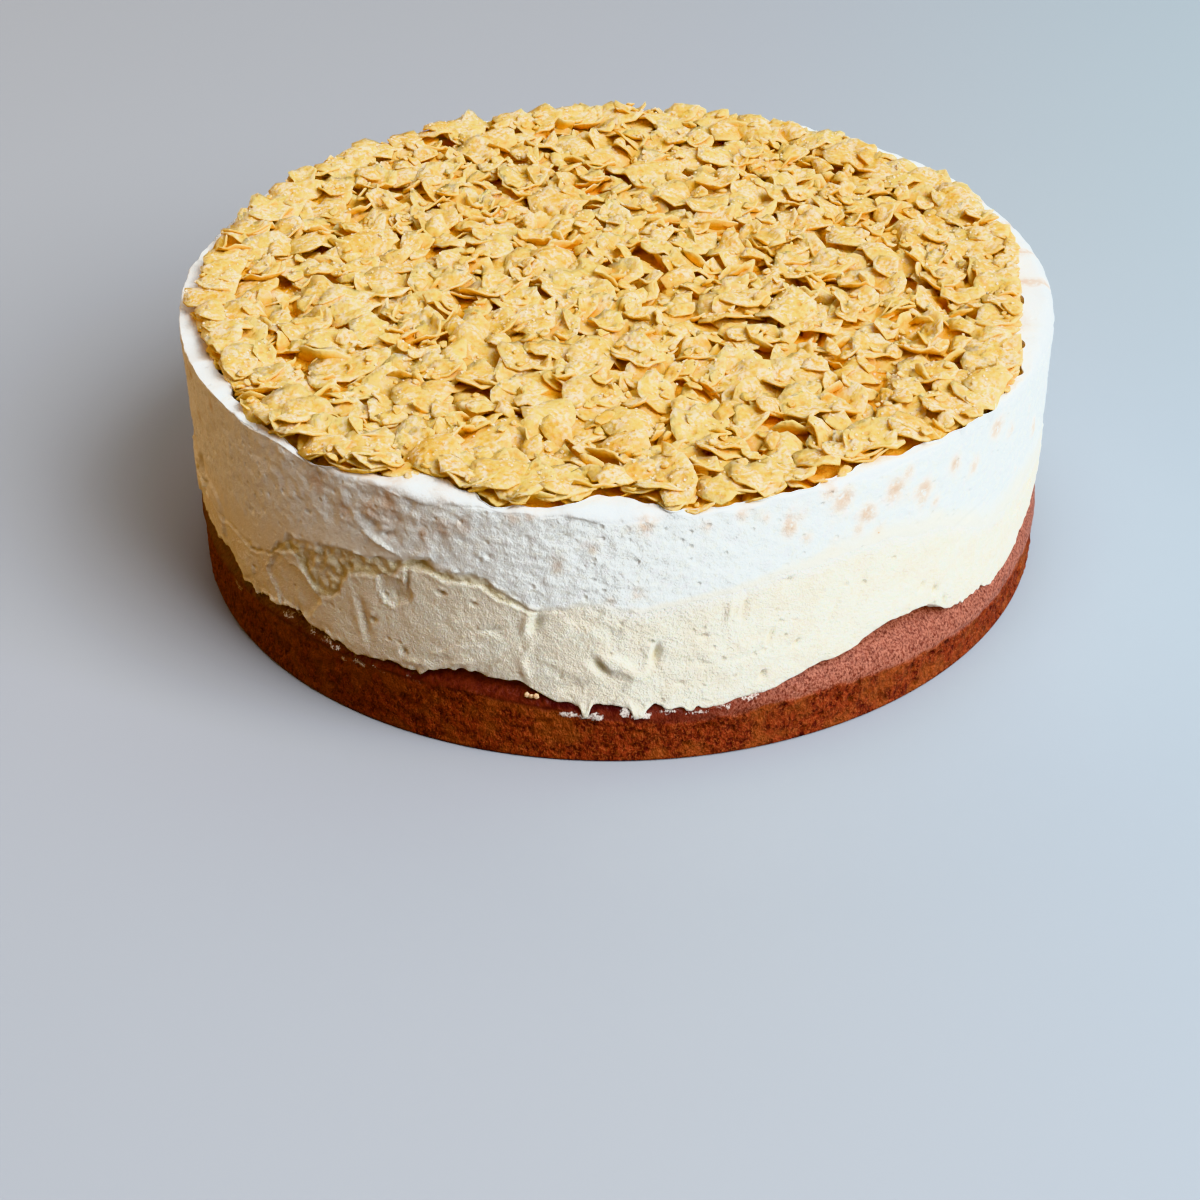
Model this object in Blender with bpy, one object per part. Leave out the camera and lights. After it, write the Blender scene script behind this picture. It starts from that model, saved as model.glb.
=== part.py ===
"""A round ice cream cake, 230 mm across and about 76 mm tall, frozen in a ring mould.

From the bottom up it is a brown sponge with a baked crust, coffee ice cream, vanilla ice cream with bits of
cereal, and a heap of sugared corn flakes that sits in a shallow recess of the vanilla layer.
Metres, +Z up. The origin is the middle of the underside. Azimuths are in degrees round the cake: 0 is the
front, which faces -Y, and 90 is the right, which faces +X.
"""

import math
import random

import bmesh
import bpy
from mathutils import Euler, Matrix, Vector, noise

MM = 0.001

# Driving sizes, in millimetres
CAKE_RADIUS = 115.0
RIM_HEIGHT = 71.5
SEGMENTS = 72
GAP = 0.35

# Hand-made unevenness of the walls, a little inside the ring mould's radius
WALL_DIP = 0.7
WALL_DIP_SHARE = 0.35
WALL_DIP_SIZE = 22.0

# Sponge: an upright wall, then a baked shoulder that curves in under the ice cream
SPONGE_RADIUS = 114.5
SPONGE_FOOT_ROUND = 0.8
SPONGE_WALL_MIDDLE = 6.0
CROWN_RADIUS = 96.0
CROWN_HEIGHT = 23.0
CRUST_GAP = 0.5
SHOULDER_TURNS = (0.0, 18.0, 38.0, 60.0, 90.0)
WALL_TOP = [(-150, 13.0), (-95, 15.5), (-20, 16.8), (10, 11.2), (22, 12.8), (50, 10.0), (95, 12.5), (145, 14.5)]

# Coffee ice cream: its wall stops short of the sponge's, in waves, and its underside slopes in to the crust
LOW_EDGE = [
    (-170, 21.0), (-142, 17.0), (-118, 23.5), (-93, 18.5), (-72, 22.0), (-61, 23.4), (-56, 19.3),
    (-44, 21.6), (-36, 19.2), (-28, 19.0), (-19, 22.9), (-13, 22.0), (-7, 17.2), (3, 16.8), (9, 14.2),
    (17, 16.0), (26, 20.6), (35, 25.2), (40, 24.8), (47, 18.6), (58, 15.8), (70, 20.6), (88, 24.0),
    (112, 17.5), (138, 23.0), (163, 16.5),
]
UNDERSIDE_SLOPE = 0.75
LOW_EDGE_ROUND = 1.0
COFFEE_WALL_SHARES = (0.0, 0.33, 0.66, 1.0)

# The line between the ice creams: wavy at the wall, and level inside the cake
LAYER_LINE = [
    (-160, 37.0), (-125, 46.0), (-92, 35.0), (-68, 33.2), (-53, 32.8), (-43, 42.8), (-34, 48.4),
    (-24, 50.3), (-17, 49.0), (-9, 43.6), (-3, 45.0), (3, 43.4), (12, 46.2), (20, 49.6), (32, 50.6),
    (41, 46.8), (54, 36.2), (64, 37.4), (80, 33.0), (106, 45.0), (135, 38.0), (168, 47.0),
]
LAYER_MIDDLE = 44.0
LAYER_BLEND_RADIUS = 105.0

# Vanilla ice cream: a ragged lip round the recess that holds the flakes, wide at the right and back
VANILLA_WALL_SHARES = (0.0, 0.4, 0.75)
LIP_START = RIM_HEIGHT - 7.0
LIP_INSIDE = [
    (-150, 109.5), (-110, 111.0), (-88, 107.5), (-70, 107.0), (-50, 110.5), (-36, 112.4), (-21, 109.6),
    (-10, 112.2), (-2, 108.8), (12, 112.4), (30, 112.0), (48, 112.5), (62, 110.0), (74, 105.0),
    (90, 104.0), (104, 106.0), (122, 107.0), (140, 104.0), (156, 101.5), (180, 104.0),
]
LIP_RAGGED = 0.7
LIP_RAGGED_SIZE = 7.0
LIP_WAVE = 0.6
LIP_WAVE_SIZE = 13.0
LIP_ROUND_LEAST = 0.6
LIP_ROUND_SHARE = 0.42
LIP_ROUND_TURN = 0.3
LIP_FALL = 0.3
LIP_DRAFT = 0.8
RECESS_FLOOR = 65.0

# Corn flakes: a core that fills the recess, and flakes of true size fused on top of it
CORE_TOP = 70.8
CORE_EXTRA = 2.0
FLAKE_SPACING = 13.1
FLAKE_NUDGE = 0.13
FLAKE_EDGE_MARGIN = 4.0
FLAKE_OVER_LIP = 1.2
FLAKE_LENGTH = (13.0, 18.5)
FLAKE_ASPECT = (0.68, 0.92)
FLAKE_REACH = (0.86, 1.04)
FLAKE_TURN_NUDGE = 0.22
FLAKE_THICKNESS = 1.0
FLAKE_CORNERS = (5, 5, 6)
FLAKE_CURL = (0.8, 2.6)
FLAKE_CURL_SIGNS = (-1.0, 1.0, 1.0)
FLAKE_TILT = 14.0
FLAKE_SINK = (0.4, 1.4)
FLAKE_TOP_LIMIT = 76.0
FLAKE_SEED = 11
CUTTER_REACH = 10.0

# Each slot's colour and roughness
FINISHES = {
    "sponge": ((0.19, 0.045, 0.012), 0.85),
    "coffee_ice_cream": ((0.74, 0.64, 0.44), 0.55),
    "vanilla_ice_cream": ((0.83, 0.82, 0.76), 0.5),
    "corn_flake": ((0.72, 0.42, 0.11), 0.6),
}


def eased(knots, azimuth):
    """The value at an azimuth, eased between (azimuth, value) knots that run right round the cake."""
    first, last = knots[0], knots[-1]
    ring = [(last[0] - 360.0, last[1]), *knots, (first[0] + 360.0, first[1])]
    for (start, before), (end, after) in zip(ring, ring[1:]):
        if start <= azimuth <= end:
            share = (azimuth - start) / (end - start)
            return before + (after - before) * (1.0 - math.cos(math.pi * share)) / 2.0
    raise ValueError(f"azimuth {azimuth} is outside -180 to 180")


def at(radius, azimuth, height):
    """The point at a radius, azimuth and height in millimetres, as metres."""
    turn = math.radians(azimuth)
    return Vector((radius * math.sin(turn), -radius * math.cos(turn), height)) * MM


def uneven(azimuth, height, size):
    """Smooth noise on the cake's wall, about -0.5 to 0.5, with lumps of a size in millimetres."""
    return noise.noise(at(CAKE_RADIUS, azimuth, height) / (size * MM))


def dip(azimuth, height):
    """How far the wall lies inside its nominal radius."""
    share = WALL_DIP_SHARE + uneven(azimuth, height, WALL_DIP_SIZE)
    return WALL_DIP * max(0.0, min(1.0, share))


def low_edge(azimuth):
    return eased(LOW_EDGE, azimuth)


def crust(turn, azimuth):
    """(radius, height) of the sponge's shoulder, from its wall's top at turn 0 to its flat crown at 90."""
    angle = math.radians(turn)
    wall_top = eased(WALL_TOP, azimuth)
    radius = CROWN_RADIUS + (SPONGE_RADIUS - CROWN_RADIUS) * math.cos(angle)
    return radius, wall_top + (CROWN_HEIGHT - wall_top) * math.sin(angle)


def underside(turn, azimuth):
    """(radius, height) of the coffee layer's underside: on the crust, or higher where the wall hangs free."""
    radius, height = crust(turn, azimuth)
    hanging = low_edge(azimuth) - (CAKE_RADIUS - radius) * UNDERSIDE_SLOPE
    return radius, max(height + CRUST_GAP, hanging)


def layer_line(azimuth, radius=CAKE_RADIUS):
    """Height of the line between the two ice creams."""
    share = max(0.0, (radius - CROWN_RADIUS) / (CAKE_RADIUS - CROWN_RADIUS))
    return LAYER_MIDDLE + (eased(LAYER_LINE, azimuth) - LAYER_MIDDLE) * share


def lip_inside(azimuth):
    """Radius of the ragged inner edge of the vanilla lip."""
    return eased(LIP_INSIDE, azimuth) + LIP_RAGGED * uneven(azimuth, 0.0, LIP_RAGGED_SIZE)


def lip_top(azimuth):
    """Height of the lip's crest."""
    return RIM_HEIGHT + LIP_WAVE * uneven(azimuth, RIM_HEIGHT, LIP_WAVE_SIZE)


def azimuths():
    return [-180.0 + 360.0 * step / SEGMENTS for step in range(SEGMENTS)]


def turned(name, rings):
    """A closed solid from rings, functions of azimuth that give (radius, height), with a flat cap at each end.

    Where two layers meet, their rings run the same way, so that their triangles match and the gap is even.
    """
    shape = bmesh.new()
    rows = []
    for ring in rings:
        places = [(azimuth, *ring(azimuth)) for azimuth in azimuths()]
        rows.append([shape.verts.new(at(radius, azimuth, height)) for azimuth, radius, height in places])
    for lower, upper in zip(rows, rows[1:]):
        for step in range(SEGMENTS):
            after = (step + 1) % SEGMENTS
            shape.faces.new((lower[step], lower[after], upper[after], upper[step]))
    shape.faces.new(list(reversed(rows[0])))
    shape.faces.new(rows[-1])
    bmesh.ops.triangulate(shape, faces=shape.faces[:], quad_method="FIXED")
    bmesh.ops.recalc_face_normals(shape, faces=shape.faces[:])
    return finished(name, shape)


def finished(name, shape):
    """Turns a bmesh into a named object of the scene."""
    mesh = bpy.data.meshes.new(name)
    shape.to_mesh(mesh)
    shape.free()
    made = bpy.data.objects.new(name, mesh)
    bpy.context.scene.collection.objects.link(made)
    return made


def wall(lower, upper, share):
    """A ring on the ice cream's wall, a share of the way from one line to another, functions of azimuth."""
    def ring(azimuth):
        height = lower(azimuth) + (upper(azimuth) - lower(azimuth)) * share
        return CAKE_RADIUS - dip(azimuth, height), height
    return ring


def sponge():
    """The brown sponge base: foot, upright wall and baked shoulder."""
    rings = [
        lambda a: (SPONGE_RADIUS - SPONGE_FOOT_ROUND, 0.0),
        lambda a: (SPONGE_RADIUS, SPONGE_FOOT_ROUND),
        lambda a: (SPONGE_RADIUS - dip(a, SPONGE_WALL_MIDDLE), SPONGE_WALL_MIDDLE),
    ]
    rings += [lambda a, t=turn: crust(t, a) for turn in SHOULDER_TURNS]
    return turned("sponge_base", rings)


def coffee_layer():
    """The coffee ice cream, from the layer line out, down its wall, and in along the sponge's crust."""
    rings = [
        lambda a: (CROWN_RADIUS, LAYER_MIDDLE),
        lambda a: (LAYER_BLEND_RADIUS, layer_line(a, LAYER_BLEND_RADIUS)),
    ]
    rings += [wall(layer_line, lambda a: low_edge(a) + LOW_EDGE_ROUND, share) for share in COFFEE_WALL_SHARES]
    rings += [lambda a: (CAKE_RADIUS - LOW_EDGE_ROUND, max(underside(0.0, a)[1], low_edge(a)))]
    rings += [lambda a, t=turn: underside(t, a) for turn in SHOULDER_TURNS[1:]]
    return turned("coffee_ice_cream", rings)


def lip_rings(clear):
    """Rings of the rim, from the wall's top in to the recess floor, moved out from the ice cream by clear."""
    def rounding(a):
        return LIP_ROUND_LEAST + LIP_ROUND_SHARE * (CAKE_RADIUS - lip_inside(a))

    def turn_in(a):
        return LIP_ROUND_TURN * rounding(a)

    return [
        lambda a: (CAKE_RADIUS - dip(a, LIP_START) + clear, lip_top(a) - rounding(a)),
        lambda a: (CAKE_RADIUS - turn_in(a) + clear, lip_top(a) - turn_in(a) + clear),
        lambda a: (CAKE_RADIUS - rounding(a), lip_top(a) + clear),
        lambda a: (lip_inside(a) - clear, lip_top(a) - LIP_FALL + clear),
        lambda a: (lip_inside(a) - LIP_DRAFT - clear, RECESS_FLOOR + clear),
    ]


def vanilla_layer():
    """The vanilla ice cream, with its lip and the recess for the flakes."""
    rings = [
        lambda a: (CROWN_RADIUS, LAYER_MIDDLE + GAP),
        lambda a: (LAYER_BLEND_RADIUS, layer_line(a, LAYER_BLEND_RADIUS) + GAP),
    ]
    rings += [wall(lambda a: layer_line(a) + GAP, lambda a: LIP_START, share) for share in VANILLA_WALL_SHARES]
    return turned("vanilla_ice_cream", rings + lip_rings(0.0))


def recess_cutter():
    """The rim and the recess floor with a little air over them, and the space outside the wall."""
    outside = [
        lambda a: (CAKE_RADIUS + CUTTER_REACH, RECESS_FLOOR - CUTTER_REACH),
        lambda a: (CAKE_RADIUS + CUTTER_REACH, LIP_START),
    ]
    return turned("recess_cutter", outside + lip_rings(GAP))


def flake(draw, name):
    """One corn flake at the origin: a thin irregular plate, its two ends curled up or down."""
    length = draw.uniform(*FLAKE_LENGTH)
    width = length * draw.uniform(*FLAKE_ASPECT)
    curl = draw.uniform(*FLAKE_CURL) * draw.choice(FLAKE_CURL_SIGNS)
    corners = draw.choice(FLAKE_CORNERS)
    outline = []
    for corner in range(corners):
        turn = 2.0 * math.pi * (corner + draw.uniform(-FLAKE_TURN_NUDGE, FLAKE_TURN_NUDGE)) / corners
        reach = draw.uniform(*FLAKE_REACH) / 2.0
        outline.append((reach * length * math.cos(turn), reach * width * math.sin(turn)))
    shape = bmesh.new()
    plates = []
    for side in (FLAKE_THICKNESS / 2.0, -FLAKE_THICKNESS / 2.0):
        points = [(x, y, curl * (2.0 * x / length) ** 2 + side) for x, y in outline]
        plates.append([shape.verts.new(Vector(point) * MM) for point in points])
    upper, lower = plates
    for corner in range(corners):
        after = (corner + 1) % corners
        shape.faces.new((lower[corner], lower[after], upper[after], upper[corner]))
    for corner in range(1, corners - 1):
        shape.faces.new((upper[0], upper[corner], upper[corner + 1]))
        shape.faces.new((lower[0], lower[corner + 1], lower[corner]))
    bmesh.ops.triangulate(shape, faces=shape.faces[:])
    return finished(name, shape)


def flake_places(draw):
    """Middles of the flakes: a hexagonal grid over the recess, each point nudged at random."""
    rows = math.ceil(CAKE_RADIUS / FLAKE_SPACING) + 1
    nudge = FLAKE_NUDGE * FLAKE_SPACING
    for row in range(-rows, rows + 1):
        for column in range(-rows, rows + 1):
            x = (column + 0.5 * (row % 2)) * FLAKE_SPACING + draw.uniform(-nudge, nudge)
            y = row * FLAKE_SPACING * math.sqrt(3.0) / 2.0 + draw.uniform(-nudge, nudge)
            azimuth = math.degrees(math.atan2(x, -y))
            if math.hypot(x, y) < lip_inside(azimuth) - FLAKE_EDGE_MARGIN:
                yield x, y


def lay_down(made, draw, x, y):
    """Leans a flake, turns it, and sets it over (x, y) with its lowest corner sunk in the core."""
    tilt = math.radians(FLAKE_TILT)
    lean = Euler((draw.uniform(-tilt, tilt), draw.uniform(-tilt, tilt), draw.uniform(0.0, 2.0 * math.pi)))
    made.data.transform(lean.to_matrix().to_4x4())
    heights = [v.co.z / MM for v in made.data.vertices]
    height = CORE_TOP - draw.uniform(*FLAKE_SINK) - min(heights)
    height = min(height, FLAKE_TOP_LIMIT - max(heights))
    made.data.transform(Matrix.Translation(Vector((x, y, height)) * MM))


def pull_in(made):
    """Moves a flake towards the middle until it reaches no further than a little over the lip."""
    def reach_over(point):
        azimuth = math.degrees(math.atan2(point.x, -point.y))
        return point.xy.length / MM - lip_inside(azimuth) - FLAKE_OVER_LIP

    excess = max(reach_over(v.co) for v in made.data.vertices)
    if excess > 0.0:
        middle = sum((v.co for v in made.data.vertices), Vector()) / len(made.data.vertices)
        inward = -Vector((middle.x, middle.y, 0.0)).normalized()
        made.data.transform(Matrix.Translation(inward * excess * MM))


def heap_of_flakes():
    """The topping: a flat core with the flakes fused on, cut clear of the recess that holds it."""
    core = turned("corn_flake_topping", [
        lambda a: (CAKE_RADIUS, RECESS_FLOOR - CORE_EXTRA),
        lambda a: (CAKE_RADIUS, CORE_TOP),
    ])
    draw = random.Random(FLAKE_SEED)
    flakes = bpy.data.collections.new("flakes")
    for number, (x, y) in enumerate(flake_places(draw)):
        made = flake(draw, f"flake_{number:03d}")
        lay_down(made, draw, x, y)
        pull_in(made)
        move_to(flakes, made)
    combine(core, "UNION", flakes)
    clearance = bpy.data.collections.new("clearance")
    move_to(clearance, recess_cutter())
    combine(core, "DIFFERENCE", clearance)
    keep_largest_piece(core)
    return core


def move_to(collection, made):
    """Takes an object out of the scene's own collection and puts it in another."""
    bpy.context.scene.collection.objects.unlink(made)
    collection.objects.link(made)


def combine(target, operation, others):
    """Joins a collection to the target, or cuts it away, and removes the collection's objects."""
    bpy.context.scene.collection.children.link(others)
    modifier = target.modifiers.new(operation.lower(), "BOOLEAN")
    modifier.operation = operation
    modifier.operand_type = "COLLECTION"
    modifier.collection = others
    modifier.solver = "EXACT"
    evaluated = target.evaluated_get(bpy.context.evaluated_depsgraph_get())
    target.data = bpy.data.meshes.new_from_object(evaluated)
    target.modifiers.clear()
    for made in list(others.objects):
        bpy.data.objects.remove(made)
    bpy.data.collections.remove(others)


def keep_largest_piece(target):
    """Drops loose scraps, and the skins of hollows that the fusing sealed, so that those are filled."""
    shape = bmesh.new()
    shape.from_mesh(target.data)
    unseen = set(shape.verts)
    pieces = []
    while unseen:
        piece = set()
        waiting = [unseen.pop()]
        while waiting:
            vertex = waiting.pop()
            piece.add(vertex)
            near = {edge.other_vert(vertex) for edge in vertex.link_edges} & unseen
            unseen -= near
            waiting.extend(near)
        pieces.append(piece)
    largest = max(pieces, key=len)
    scraps = [vertex for vertex in shape.verts if vertex not in largest]
    bmesh.ops.delete(shape, geom=scraps, context="VERTS")
    shape.to_mesh(target.data)
    shape.free()


def paint(made, slot):
    """Gives an object the Principled material of its slot."""
    colour, roughness = FINISHES[slot]
    material = bpy.data.materials.new(slot)
    material.use_nodes = True
    shader = material.node_tree.nodes["Principled BSDF"]
    shader.inputs["Base Color"].default_value = (*colour, 1.0)
    shader.inputs["Roughness"].default_value = roughness
    shader.inputs["Metallic"].default_value = 0.0
    made.data.materials.clear()
    made.data.materials.append(material)


def main():
    for old in list(bpy.data.objects):
        bpy.data.objects.remove(old)
    paint(sponge(), "sponge")
    paint(coffee_layer(), "coffee_ice_cream")
    paint(vanilla_layer(), "vanilla_ice_cream")
    paint(heap_of_flakes(), "corn_flake")


main()
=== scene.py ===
# Ice cream cake: a brown sponge, coffee and vanilla ice cream, and a heap of sugared corn flakes
import math
import random
import bpy
import numpy as np
from mathutils import Euler, Matrix, Vector
from mathutils.bvhtree import BVHTree


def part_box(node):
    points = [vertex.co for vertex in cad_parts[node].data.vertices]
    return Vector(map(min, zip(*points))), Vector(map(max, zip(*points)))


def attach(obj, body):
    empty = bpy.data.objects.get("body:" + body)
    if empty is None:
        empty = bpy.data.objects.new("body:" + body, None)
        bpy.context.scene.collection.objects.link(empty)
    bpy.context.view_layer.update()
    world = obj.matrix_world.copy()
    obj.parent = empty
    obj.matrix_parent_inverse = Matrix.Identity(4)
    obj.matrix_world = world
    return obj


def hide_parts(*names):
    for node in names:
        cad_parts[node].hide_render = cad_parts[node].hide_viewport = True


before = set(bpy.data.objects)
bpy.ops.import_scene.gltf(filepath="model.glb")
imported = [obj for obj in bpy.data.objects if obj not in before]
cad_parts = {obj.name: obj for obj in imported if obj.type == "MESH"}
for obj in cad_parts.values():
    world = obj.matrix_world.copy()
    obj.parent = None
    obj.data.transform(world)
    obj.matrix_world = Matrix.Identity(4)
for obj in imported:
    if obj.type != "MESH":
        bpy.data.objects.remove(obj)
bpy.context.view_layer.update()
mm = 0.001  # sizes below are in millimetres, azimuths in degrees: 0 is the front, 90 the right
fullTurn = 6.283  # radians

# what the CAD solids give, and the CAD's own rim, crown and middle of the layers
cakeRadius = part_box("coffee_ice_cream")[1].y / mm
rimHeight = 71.5
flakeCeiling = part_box("corn_flake_topping")[1].z / mm - 0.1
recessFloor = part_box("corn_flake_topping")[0].z / mm
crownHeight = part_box("sponge_base")[1].z / mm
crownRadius = 96.0
layerMiddle = 44.0

# the wavy edges round the cake: azimuth, and the height, radius or strength there
wallTop = [(-150, 13.0), (-95, 15.5), (-20, 16.8), (10, 11.2), (22, 12.8), (50, 10.0), (95, 12.5),
           (145, 14.5)]
lowEdge = [(-170, 21.0), (-142, 17.0), (-118, 23.5), (-93, 18.5), (-72, 22.0), (-61, 23.4), (-56, 19.3),
           (-44, 21.6), (-36, 19.2), (-28, 19.0), (-19, 22.9), (-13, 22.0), (-7, 17.2), (3, 16.8), (9, 14.2),
           (17, 16.0), (26, 20.6), (35, 25.2), (40, 24.8), (47, 18.6), (58, 15.8), (70, 20.6), (88, 24.0),
           (112, 17.5), (138, 23.0), (163, 16.5)]
layerLine = [(-160, 37.0), (-125, 46.0), (-92, 35.0), (-68, 33.2), (-53, 32.8), (-43, 42.8), (-34, 48.4),
             (-24, 50.3), (-17, 49.0), (-9, 43.6), (-3, 45.0), (3, 43.4), (12, 46.2), (20, 49.6), (32, 50.6),
             (41, 46.8), (54, 36.2), (64, 37.4), (80, 33.0), (106, 45.0), (135, 38.0), (168, 47.0)]
lipInside = [(-150, 109.5), (-110, 111.0), (-88, 107.5), (-70, 107.0), (-50, 110.5), (-36, 112.4),
             (-29, 110.4), (-24, 106.2), (-18, 109.4), (-11, 112.4), (-5, 110.2), (0, 105.6), (3.6, 108.6),
             (7, 112.4), (22, 112.6), (30, 109.8), (38, 111.6), (48, 112.8), (62, 110.0), (74, 105.0),
             (90, 104.0), (104, 106.0), (122, 107.0), (140, 104.0), (156, 101.5), (180, 104.0)]
flakeEdge = [(-164, 112.5), (-150, 112.5), (-139, 113.0), (-127, 111.0), (-112, 110.6), (-100, 111.2),
             (-91, 109.6), (-84, 113.2), (-77, 109.8), (-66, 109.2), (-60, 109.2), (-52, 112.6),
             (-38, 114.2), (-31, 113.8), (-28.6, 111.4), (-26.4, 113.2), (-24, 107.2), (-18, 111.0),
             (-12, 114.0), (-6, 111.8), (-3, 108.8), (0.2, 107.0), (3, 109.0), (5.4, 113.6), (10, 114.5),
             (20, 114.5), (26, 112.8), (30, 111.0), (36, 113.4), (43, 113.0), (50, 114.5), (60, 112.6),
             (71, 106.8), (84, 105.2), (98, 108.0), (118, 109.0), (131, 104.6), (144, 107.0), (158, 105.0),
             (170, 110.0), (180, 112.0)]
crestSwell = [(-150, 0.3), (-95, -0.2), (-55, 0.2), (-32, 0.0), (-24, 1.0), (-16, 0.3), (-9, -0.2),
              (0, 1.1), (7, -0.2), (24, 0.0), (31, 0.5), (60, 0.0), (110, 0.4)]
# drips and notches of the coffee's lower edge: azimuth, drop, half width in degrees
drips = [(-4.2, 2.7, 0.55), (-4.6, 1.0, 1.3), (2.1, 2.5, 0.85), (2.0, 1.0, 1.7), (3.9, -0.7, 0.35),
         (5.6, 0.7, 0.6), (7.2, -0.8, 0.35), (8.2, 0.5, 0.5), (9.2, -0.8, 0.35), (10.4, 0.4, 0.6)]
edgeRagged = [(-160, 0.9), (-100, 0.6), (-74, 1.1), (-26, 1.1), (-18, 0.5), (-9, 0.3), (6, 0.5), (18, 0.25),
              (42, 0.3), (50, 1.2), (60, 0.7), (100, 0.5), (150, 1.0)]


def eased(knots, azimuth):  # eases between knots that run right round the cake
    first, last = knots[0], knots[-1]
    ring = [(last[0] - 360, last[1]), *knots, (first[0] + 360, first[1])]
    spots = np.array([k[0] for k in ring], float)
    values = np.array([k[1] for k in ring], float)
    azimuth = (np.asarray(azimuth, float) + 180.0) % 360.0 - 180.0
    after = np.clip(np.searchsorted(spots, azimuth, side="right"), 1, len(ring) - 1)
    share = (azimuth - spots[after - 1]) / (spots[after] - spots[after - 1])
    return values[after - 1] + (values[after] - values[after - 1]) * (1 - np.cos(np.pi * share)) / 2


def onCake(radius, azimuth, height):
    turn = np.radians(azimuth)
    return np.stack(np.broadcast_arrays(radius * np.sin(turn), -radius * np.cos(turn), height), axis=-1)


def spotAt(radius, azimuth):  # the same for one point, level
    turn = math.radians(azimuth)
    return radius * math.sin(turn), -radius * math.cos(turn)


def evenAzimuths(count):
    return -180 + 360 * np.arange(count) / count


def wallAway(azimuth, spot):  # how far along the wall an azimuth is from a spot
    return np.radians((azimuth - spot + 180) % 360 - 180) * cakeRadius


def lattice(x, y, z, seed):  # a repeatable value from -1 to 1 at each whole-numbered point
    mixed = (x * 374761393 + y * 668265263 + z * 1440662683 + seed * 974634777) & 0xFFFFFFFF
    mixed = ((mixed ^ (mixed >> 13)) * 1274126177) & 0xFFFFFFFF
    return (mixed ^ (mixed >> 16)) / 2147483647.5 - 1.0


def lumps(points, size, seed=0):  # smooth noise from -1 to 1, with lumps of that size
    scaled = points / size
    base = np.floor(scaled).astype(np.int64)
    part = scaled - base
    part = part * part * part * (part * (part * 6 - 15) + 10)
    total = 0.0
    for dx in (0, 1):
        for dy in (0, 1):
            for dz in (0, 1):
                weight = 1.0
                for axis, step in enumerate((dx, dy, dz)):
                    weight = weight * (part[..., axis] if step else 1 - part[..., axis])
                corner = lattice(base[..., 0] + dx, base[..., 1] + dy, base[..., 2] + dz, seed)
                total = total + weight * corner
    return total


def roughness(points, size, layers, seed=0):  # several sizes of lumps, each half as large and half as high
    return sum(lumps(points, size / 2 ** n, seed + n) / 2 ** n for n in range(layers))


def smooth(low, high, value):
    share = np.clip((value - low) / (high - low), 0, 1)
    return share * share * (3 - 2 * share)


def layerLineAt(azimuth):  # where coffee meets vanilla on the wall
    return eased(layerLine, azimuth) + 0.7 * roughness(onCake(cakeRadius, azimuth, 0.0), 5.0, 3, 17)


def lowEdgeAt(azimuth):  # the coffee layer's lower edge
    spots = onCake(cakeRadius, azimuth, 0.0)
    ragged = eased(edgeRagged, azimuth)
    edge = eased(lowEdge, azimuth) + 0.8 * ragged * roughness(spots, 4.0, 3, 31)
    edge = edge - 0.9 * ragged * smooth(0.15, 0.7, lumps(spots, 1.8, 33))  # small spikes
    for spot, drop, width in drips:
        edge = edge - drop * np.exp(-((azimuth - spot) / width) ** 4)
    return edge


def gridNormals(points):  # outward normals of a (rows, azimuths) grid
    across = np.roll(points, -1, axis=1) - np.roll(points, 1, axis=1)
    along = np.gradient(points, axis=0)
    normal = np.cross(across, along)
    return normal / np.maximum(np.linalg.norm(normal, axis=-1, keepdims=True), 1e-9)


def outward(points):  # level unit vectors away from the cake's axis
    level = points * [1, 1, 0]
    return level / np.maximum(np.linalg.norm(level, axis=-1, keepdims=True), 1e-9)


def keepWithin(points, limit):
    radial = np.linalg.norm(points[..., :2], axis=-1)
    points[..., :2] *= np.minimum(1, limit / np.maximum(radial, 1e-9))[..., None]


def ringPoints(rings, azimuth):  # the points of the rings, with the height and azimuth of each
    points = np.stack([onCake(radius, azimuth, height) for radius, height in rings])
    return points, points[..., 2], np.broadcast_to(azimuth, points.shape[:2])


def newObject(name, data):
    made = bpy.data.objects.new(name, data)
    bpy.context.scene.collection.objects.link(made)
    return made


def setAttribute(mesh, key, values, kind="FLOAT"):  # a value or a vector for each point
    made = mesh.attributes.new(key, kind, "POINT")
    values = np.asarray(values, np.int32 if kind == "INT" else np.float32)
    made.data.foreach_set("vector" if kind == "FLOAT_VECTOR" else "value", values)


def gridObject(name, points, values):  # a closed body from rings that run up the outside and end in flat caps
    rows, columns = points.shape[:2]
    ends = np.stack([points[0].mean(axis=0), points[-1].mean(axis=0)])
    ends[:, :2] = 0
    index = np.arange(rows * columns).reshape(rows, columns)
    after = np.roll(index, -1, axis=1)
    quads = np.stack([index[:-1], after[:-1], after[1:], index[1:]], axis=-1).reshape(-1, 4)
    bottom = np.stack([np.full(columns, rows * columns), after[0], index[0]], axis=-1)
    top = np.stack([np.full(columns, rows * columns + 1), index[-1], after[-1]], axis=-1)
    allPoints = np.vstack([points.reshape(-1, 3), ends]) * mm
    mesh = bpy.data.meshes.new(name)
    mesh.from_pydata(allPoints.tolist(), [], quads.tolist() + bottom.tolist() + top.tolist())
    for key, value in values.items():
        setAttribute(mesh, key, np.append(value.ravel(), [0, 0]))
    mesh.shade_smooth()
    return newObject(name, mesh)


def dress(piece, nodes, material):
    piece.data.materials.clear()
    piece.data.materials.append(material)
    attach(piece, "root")
    if nodes:
        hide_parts(*nodes)
    top = max(v.co.z for v in piece.data.vertices) / mm
    print(piece.name, len(piece.data.polygons), "faces, top", round(top, 2))


# shader helpers
def newMaterial(name):
    material = bpy.data.materials.new(name)
    material.use_nodes = True
    tree = material.node_tree
    return material, tree, tree.nodes["Principled BSDF"]


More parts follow.
